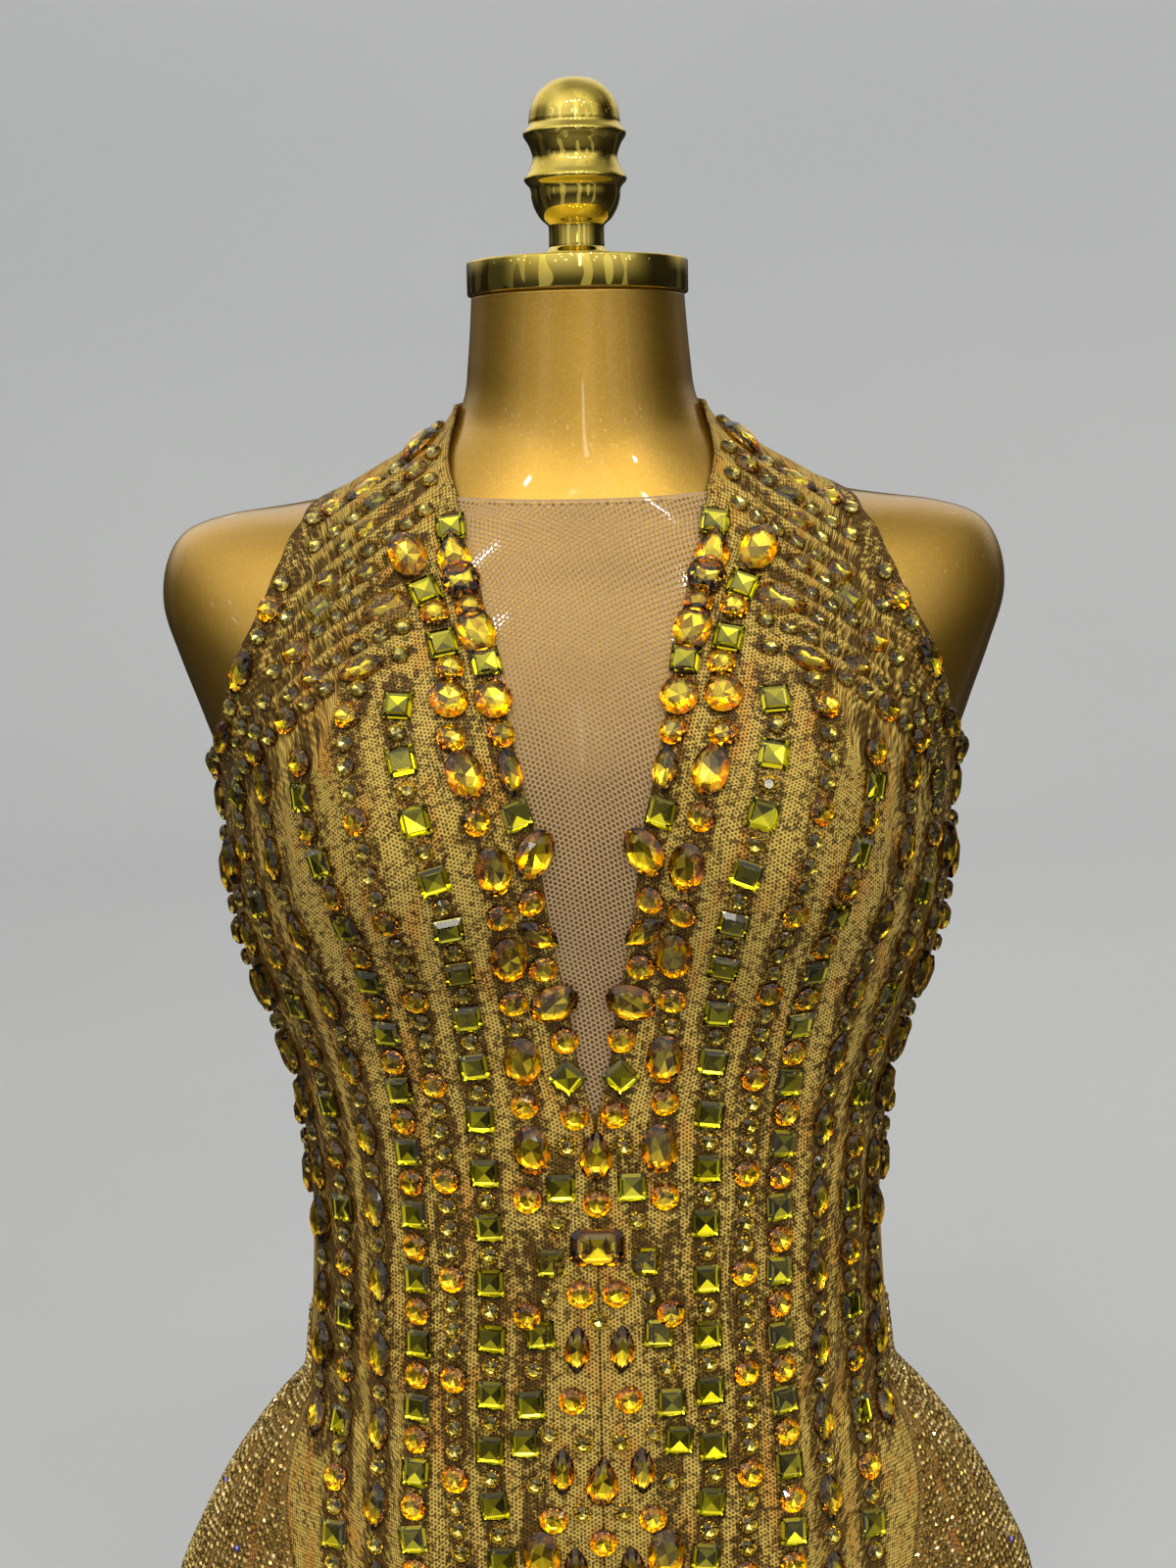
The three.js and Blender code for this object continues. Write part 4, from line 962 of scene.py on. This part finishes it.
SMOKY = {"cup": CUP, "rim": [(0.92, 0.66, 0.14), (0.66, 0.50, 0.10)],
         "back": [(0.44, 0.36, 0.07), (0.74, 0.64, 0.22)],
         "heart": [(0.36, 0.31, 0.06), (0.84, 0.76, 0.34), (0.26, 0.22, 0.04)]}
AMBER_GLASS = glass("amber_glass", (0.98, 0.81, 0.34))
OLIVE_GLASS = glass("olive_glass", (0.97, 0.94, 0.42))
SMOKY_GLASS = glass("smoky_glass", (0.95, 0.88, 0.56))
STONE_GROUPS = [("amber_stones", "rbompe", AMBER_GLASS, AMBER, "amber_stone", 11),
                ("olive_stones", "sq", OLIVE_GLASS, OLIVE, "olive_stone", 12),
                ("smoky_stones", "dt", SMOKY_GLASS, SMOKY, "amber_stone", 13)]
for name, cuts, crown_glass, foil_tints_glints_and_shade, slot_name, seed in STONE_GROUPS:
    stones = stone_mesh(name, [s for s in all_stones if s[1] in cuts], [crown_glass, stone_foil], foil_tints_glints_and_shade, seed)
    if name == "amber_stones":
        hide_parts(*[f"centre_stone_{k}" for k in (1, 2, 3, 4)])


# The hip and seat panels are gold mesh covered with small foiled stones, glued in rows that follow the
# drape, and close together except in narrow creases.
HIP_COLUMNS, HIP_ROWS = 90, 70


def hip_places(side, columns, rows):
    shares = np.linspace(0, 1, columns)

    def angles_at(station, share):
        first = np.radians(edge_at(OUTER_EDGE, station))
        first = first + gap_angle(first, station)
        last = np.pi - gap_angle(np.full(np.shape(first), np.pi), station)
        return first + (last - first) * share

    bottom = cut_station(lambda t: leg_gap(angles_at(t, shares), t), np.full(columns, 0.6), np.full(columns, 9.0))
    station = bottom[None] + (WAIST_SEAM - bottom[None]) * np.linspace(0, 1, rows)[:, None]
    return side * angles_at(station, np.broadcast_to(shares[None], station.shape)), station


gold_mesh = print_material("gold_mesh", 0.0018, (0.46, 0.27, 0.06), (0.52, 0.21, 0.045), (0.10, 0.055, 0.012))
CRYSTAL_PITCH = 3.65
CRYSTAL_RADIUS = 1.62
CRYSTAL_HEIGHT = 1.5
CRYSTAL_SIDES = 6
CRYSTAL_TILT = 0.19
CRYSTAL_LOW, CRYSTAL_TOP, ROW_SHARE = 106.0, 346.0, 0.84
LINE_STEPS, EDGE_SPACE = 1500, 1.9


def crystals(name, centres, across, along, out, seed):
    chance = np.random.default_rng(seed)
    count = len(centres)
    tilt = chance.normal(0, CRYSTAL_TILT, (count, 2))
    out = unit(out + across * tilt[:, :1] + along * tilt[:, 1:])
    spin = chance.uniform(0, np.pi / 3, count)
    rings = [(1.0, 0.10), (0.93, 0.48), (0.50, 1.0)]
    points = []
    for scale, height in rings:
        for k in range(CRYSTAL_SIDES):
            a = spin + 2 * np.pi * k / CRYSTAL_SIDES
            flat = across * np.cos(a)[:, None] + along * np.sin(a)[:, None]
            points.append(centres + flat * CRYSTAL_RADIUS * scale + out * CRYSTAL_HEIGHT * height)
    points = np.stack(points, 1).reshape(-1, 3)
    shape = ring_faces(3, CRYSTAL_SIDES, True) + [tuple(2 * CRYSTAL_SIDES + k for k in range(CRYSTAL_SIDES))]
    size = 3 * CRYSTAL_SIDES
    faces = [tuple(i * size + k for k in f) for i in range(count) for f in shape]
    made = mesh_object(name, in_frame(points), faces, smooth=False)
    palette = np.array([(0.60, 0.42, 0.11), (0.46, 0.32, 0.08), (0.74, 0.54, 0.18), (0.32, 0.21, 0.05),
                        (0.88, 0.72, 0.36)])
    pick = palette[chance.choice(5, count, p=[0.34, 0.26, 0.2, 0.14, 0.06])]
    # A few crystals are painted turquoise and violet all over: painted coloured glints.
    painted_glint_chance = chance.random(count)
    pick[painted_glint_chance < 0.004] = (0.10, 0.75, 0.55)
    pick[painted_glint_chance > 0.997] = (0.25, 0.22, 0.95)
    tint_facets(made, np.repeat(pick, len(shape), axis=0))
    return made


crystal_foil, tone, shader = finish("crystal_foil", metallic=0.92, roughness=0.09, coat_weight=0.8,
                                    coat_roughness=0.02)
feed(shader, Base_Color=tone.node("Attribute", {"attribute_name": "tint"}, out=0))
for side, node in ((-1, "hip_left"), (1, "hip_right")):
    angle, station = hip_places(side, HIP_COLUMNS, HIP_ROWS)
    points = in_frame(lifted(angle, station, np.full(angle.shape, CLOTH_LIFT)))
    cloth = cloth_sheet(node + "_cloth", points, gold_mesh)
    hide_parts(node)
    rows = []
    chance = np.random.default_rng(21 + side)
    for number, z in enumerate(np.arange(CRYSTAL_LOW, CRYSTAL_TOP, CRYSTAL_PITCH * ROW_SHARE)):
        t = np.interp(z, STATIONS[:13, 0], np.arange(13))
        ring = np.linspace(np.radians(edge_at(OUTER_EDGE, t)), np.pi, LINE_STEPS)
        run = run_of(surface(ring, np.full(ring.shape, t)))
        stops = np.arange(EDGE_SPACE + (number % 2) * CRYSTAL_PITCH / 2, run[-1] - 1.8, CRYSTAL_PITCH)
        a = np.interp(stops, run, ring)
        rows.append(np.stack([a, np.full(a.shape, t), stops], -1))
    rows = np.concatenate(rows)
    keep = leg_gap(rows[:, 0], rows[:, 1]) > 2.2
    z_of = surface(rows[:, 0], rows[:, 1])[:, 2]
    crease = np.sin((rows[:, 2] * 0.75 + (z_of - 200) * 0.42) / 3.1 + 1.7 * np.sin(z_of / 31))
    keep &= ~((crease > 0.93) & (rows[:, 2] < 70 + 20 * np.sin(z_of / 17)))
    rows = rows[keep]
    rows[:, 0] += chance.normal(0, 0.0014, len(rows))
    rows[:, 1] += chance.normal(0, 0.006, len(rows))
    a = side * rows[:, 0]
    across, along, out = directions(a, rows[:, 1])
    centres = surface(a, rows[:, 1]) + out * CLOTH_LIFT
    made = crystals(node + "_crystals", centres, across, along, out, 31 + side)
    made.data.materials.append(crystal_foil)
    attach(made, "root")


# The back is one cut of the printed mesh from side seam to side seam. It is cut away in a low scoop with a
# hem, stretched over the form and sewn to the fronts and to the seat panels.
BACK_SCOOP = np.array([(0, 456), (55, 461), (98, 477), (128, 503), (148, 540), (157, 570), (163.5, 598), (175, 720)])
BACK_COLUMNS, BACK_ROWS = 180, 80
first = math.radians(SIDE_ANGLE)
angle = np.linspace(first + 0.001, 2 * np.pi - first - 0.001, BACK_COLUMNS)


def over_scoop(station):
    x, _, z = np.moveaxis(surface(angle, station), -1, 0)
    return z - np.interp(np.abs(x), *BACK_SCOOP.T)


top = np.minimum(cut_station(over_scoop, np.full(BACK_COLUMNS, 12.0), np.full(BACK_COLUMNS, 21.0)), SIDE_TOP)
station = WAIST_SEAM + 0.012 + (top[None] - WAIST_SEAM - 0.012) * np.linspace(0, 1, BACK_ROWS)[:, None]
angle = np.broadcast_to(angle[None], station.shape)
points = in_frame(lifted(angle, station, np.full(station.shape, CLOTH_LIFT)))
BACK_STRIPES = 30
back = cloth_sheet("back_cloth", points, printed_mesh, np.clip(np.cos(angle * BACK_STRIPES), 0, 1) * 0.55)
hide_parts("back")


# The neck strap is the end of each front carried round the neck, in the same printed mesh with a hem. It is
# pulled tight with a few small waves, and a plated clasp closes it at the nape.
STRAP_LOW = np.array([(95, 27.7), (110, 28.1), (130, 28.7), (155, 29.1), (180, 29.2)])
STRAP_HIGH = np.array([(95, 30.6), (130, 30.7), (180, 30.9)])
STRAP_COLUMNS, STRAP_ROWS = 60, 20
for side, node in ((-1, "neck_strap_left"), (1, "neck_strap_right")):
    degrees = np.linspace(95.15, 179.8, STRAP_COLUMNS)
    low, high = np.interp(degrees, *STRAP_LOW.T), np.interp(degrees, *STRAP_HIGH.T)
    station = low[None] + (high - low)[None] * np.linspace(0, 1, STRAP_ROWS)[:, None]
    angle = np.broadcast_to(side * np.radians(degrees)[None], station.shape)
    share = np.linspace(0, 1, STRAP_ROWS)[:, None]
    wave = 0.35 * np.sin(share * 6 * np.pi + degrees[None] / 14) * np.clip((160 - degrees[None]) / 60, 0, 1)
    points = in_frame(lifted(angle, station, CLOTH_LIFT + wave))
    strap = cloth_sheet(node + "_cloth", points, printed_mesh, np.full(station.shape, 0.45))
    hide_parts(node)


# The clasp at the nape is a small plate stamped from sheet brass, with rolled edges and a groove down its
# middle, plated in polished gold and sewn to the two strap ends.
CLASP_MIDDLE, CLASP_WIDE, CLASP_HIGH = 30.05, 16.0, 13.0
CLASP_COLUMNS, CLASP_ROWS, CLASP_LIFT = 25, 21, 3.4
NAPE_RADIUS, NAPE_STATION = 57.5, 10.2
steps_u, steps_v = np.meshgrid(np.linspace(-1, 1, CLASP_COLUMNS), np.linspace(-1, 1, CLASP_ROWS))
half_up = CLASP_HIGH / 2 / NAPE_STATION
corner = 1 - 0.10 * (np.abs(steps_u)**6) * (np.abs(steps_v)**6)
angle = np.pi + steps_u * corner * (CLASP_WIDE / 2 / NAPE_RADIUS)
station = CLASP_MIDDLE + steps_v * corner * half_up
crown = 1.3 * (1 - np.maximum(np.abs(steps_u), np.abs(steps_v))**6)
groove = 0.5 * np.exp(-(steps_u / 0.06)**2)
points = in_frame(lifted(angle, station, CLASP_LIFT + crown - groove))
clasp = mesh_object("neck_clasp_plate", points.reshape(-1, 3), ring_faces(CLASP_ROWS, CLASP_COLUMNS, False))
if clasp.data.polygons[200].normal.y < 0:
    clasp.data.flip_normals()
wall = clasp.modifiers.new("wall", "SOLIDIFY")
wall.thickness, wall.offset = 0.0006, -1.0
apply_modifiers(clasp)
clasp.data.shade_smooth()
clasp.data.materials.append(polished_gold)
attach(clasp, "root")
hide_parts("neck_clasp")


# The gusset is a narrow strip of the printed mesh that joins the fronts and the seat panels between the leg
# openings. It lies flat under the form and is sewn on at both ends.
GUSSET_HALF = 21.9
GUSSET_COLUMNS, GUSSET_STEPS, GUSSET_MIDDLE = 24, 9, 12
GUSSET_END, GUSSET_LOW, GUSSET_LIFT, GUSSET_TOP = 1.77, 0.15, 2.3, 103.2
x_row = np.linspace(-GUSSET_HALF, GUSSET_HALF, GUSSET_COLUMNS)
rows = []
for t in np.linspace(GUSSET_END, GUSSET_LOW, GUSSET_STEPS):
    a = angle_at_x(x_row, np.full(x_row.shape, t)) * np.sign(x_row)
    rows.append(lifted(a, np.full(a.shape, t), np.full(a.shape, GUSSET_LIFT)))
front_end = rows[-1]
back_rows = []
for t in np.linspace(GUSSET_LOW, GUSSET_END, GUSSET_STEPS):
    a = np.pi - angle_at_x(x_row, np.full(x_row.shape, t)) * np.sign(x_row)
    back_rows.append(lifted(a, np.full(a.shape, t), np.full(a.shape, GUSSET_LIFT)))
for f in np.linspace(0, 1, GUSSET_MIDDLE)[1:-1]:
    across_row = front_end + (back_rows[0] - front_end) * f
    across_row[:, 2] = np.minimum(across_row[:, 2], 85.8 + 1.2 * abs(2 * f - 1)**4)
    rows.append(across_row)
rows += back_rows
gusset_points = np.array(rows)
gusset_points[..., 2] = np.minimum(gusset_points[..., 2], GUSSET_TOP)
gusset = cloth_sheet("gusset_cloth", in_frame(gusset_points), printed_mesh, np.full(gusset_points.shape[:2], 0.3))
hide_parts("gusset")

low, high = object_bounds()
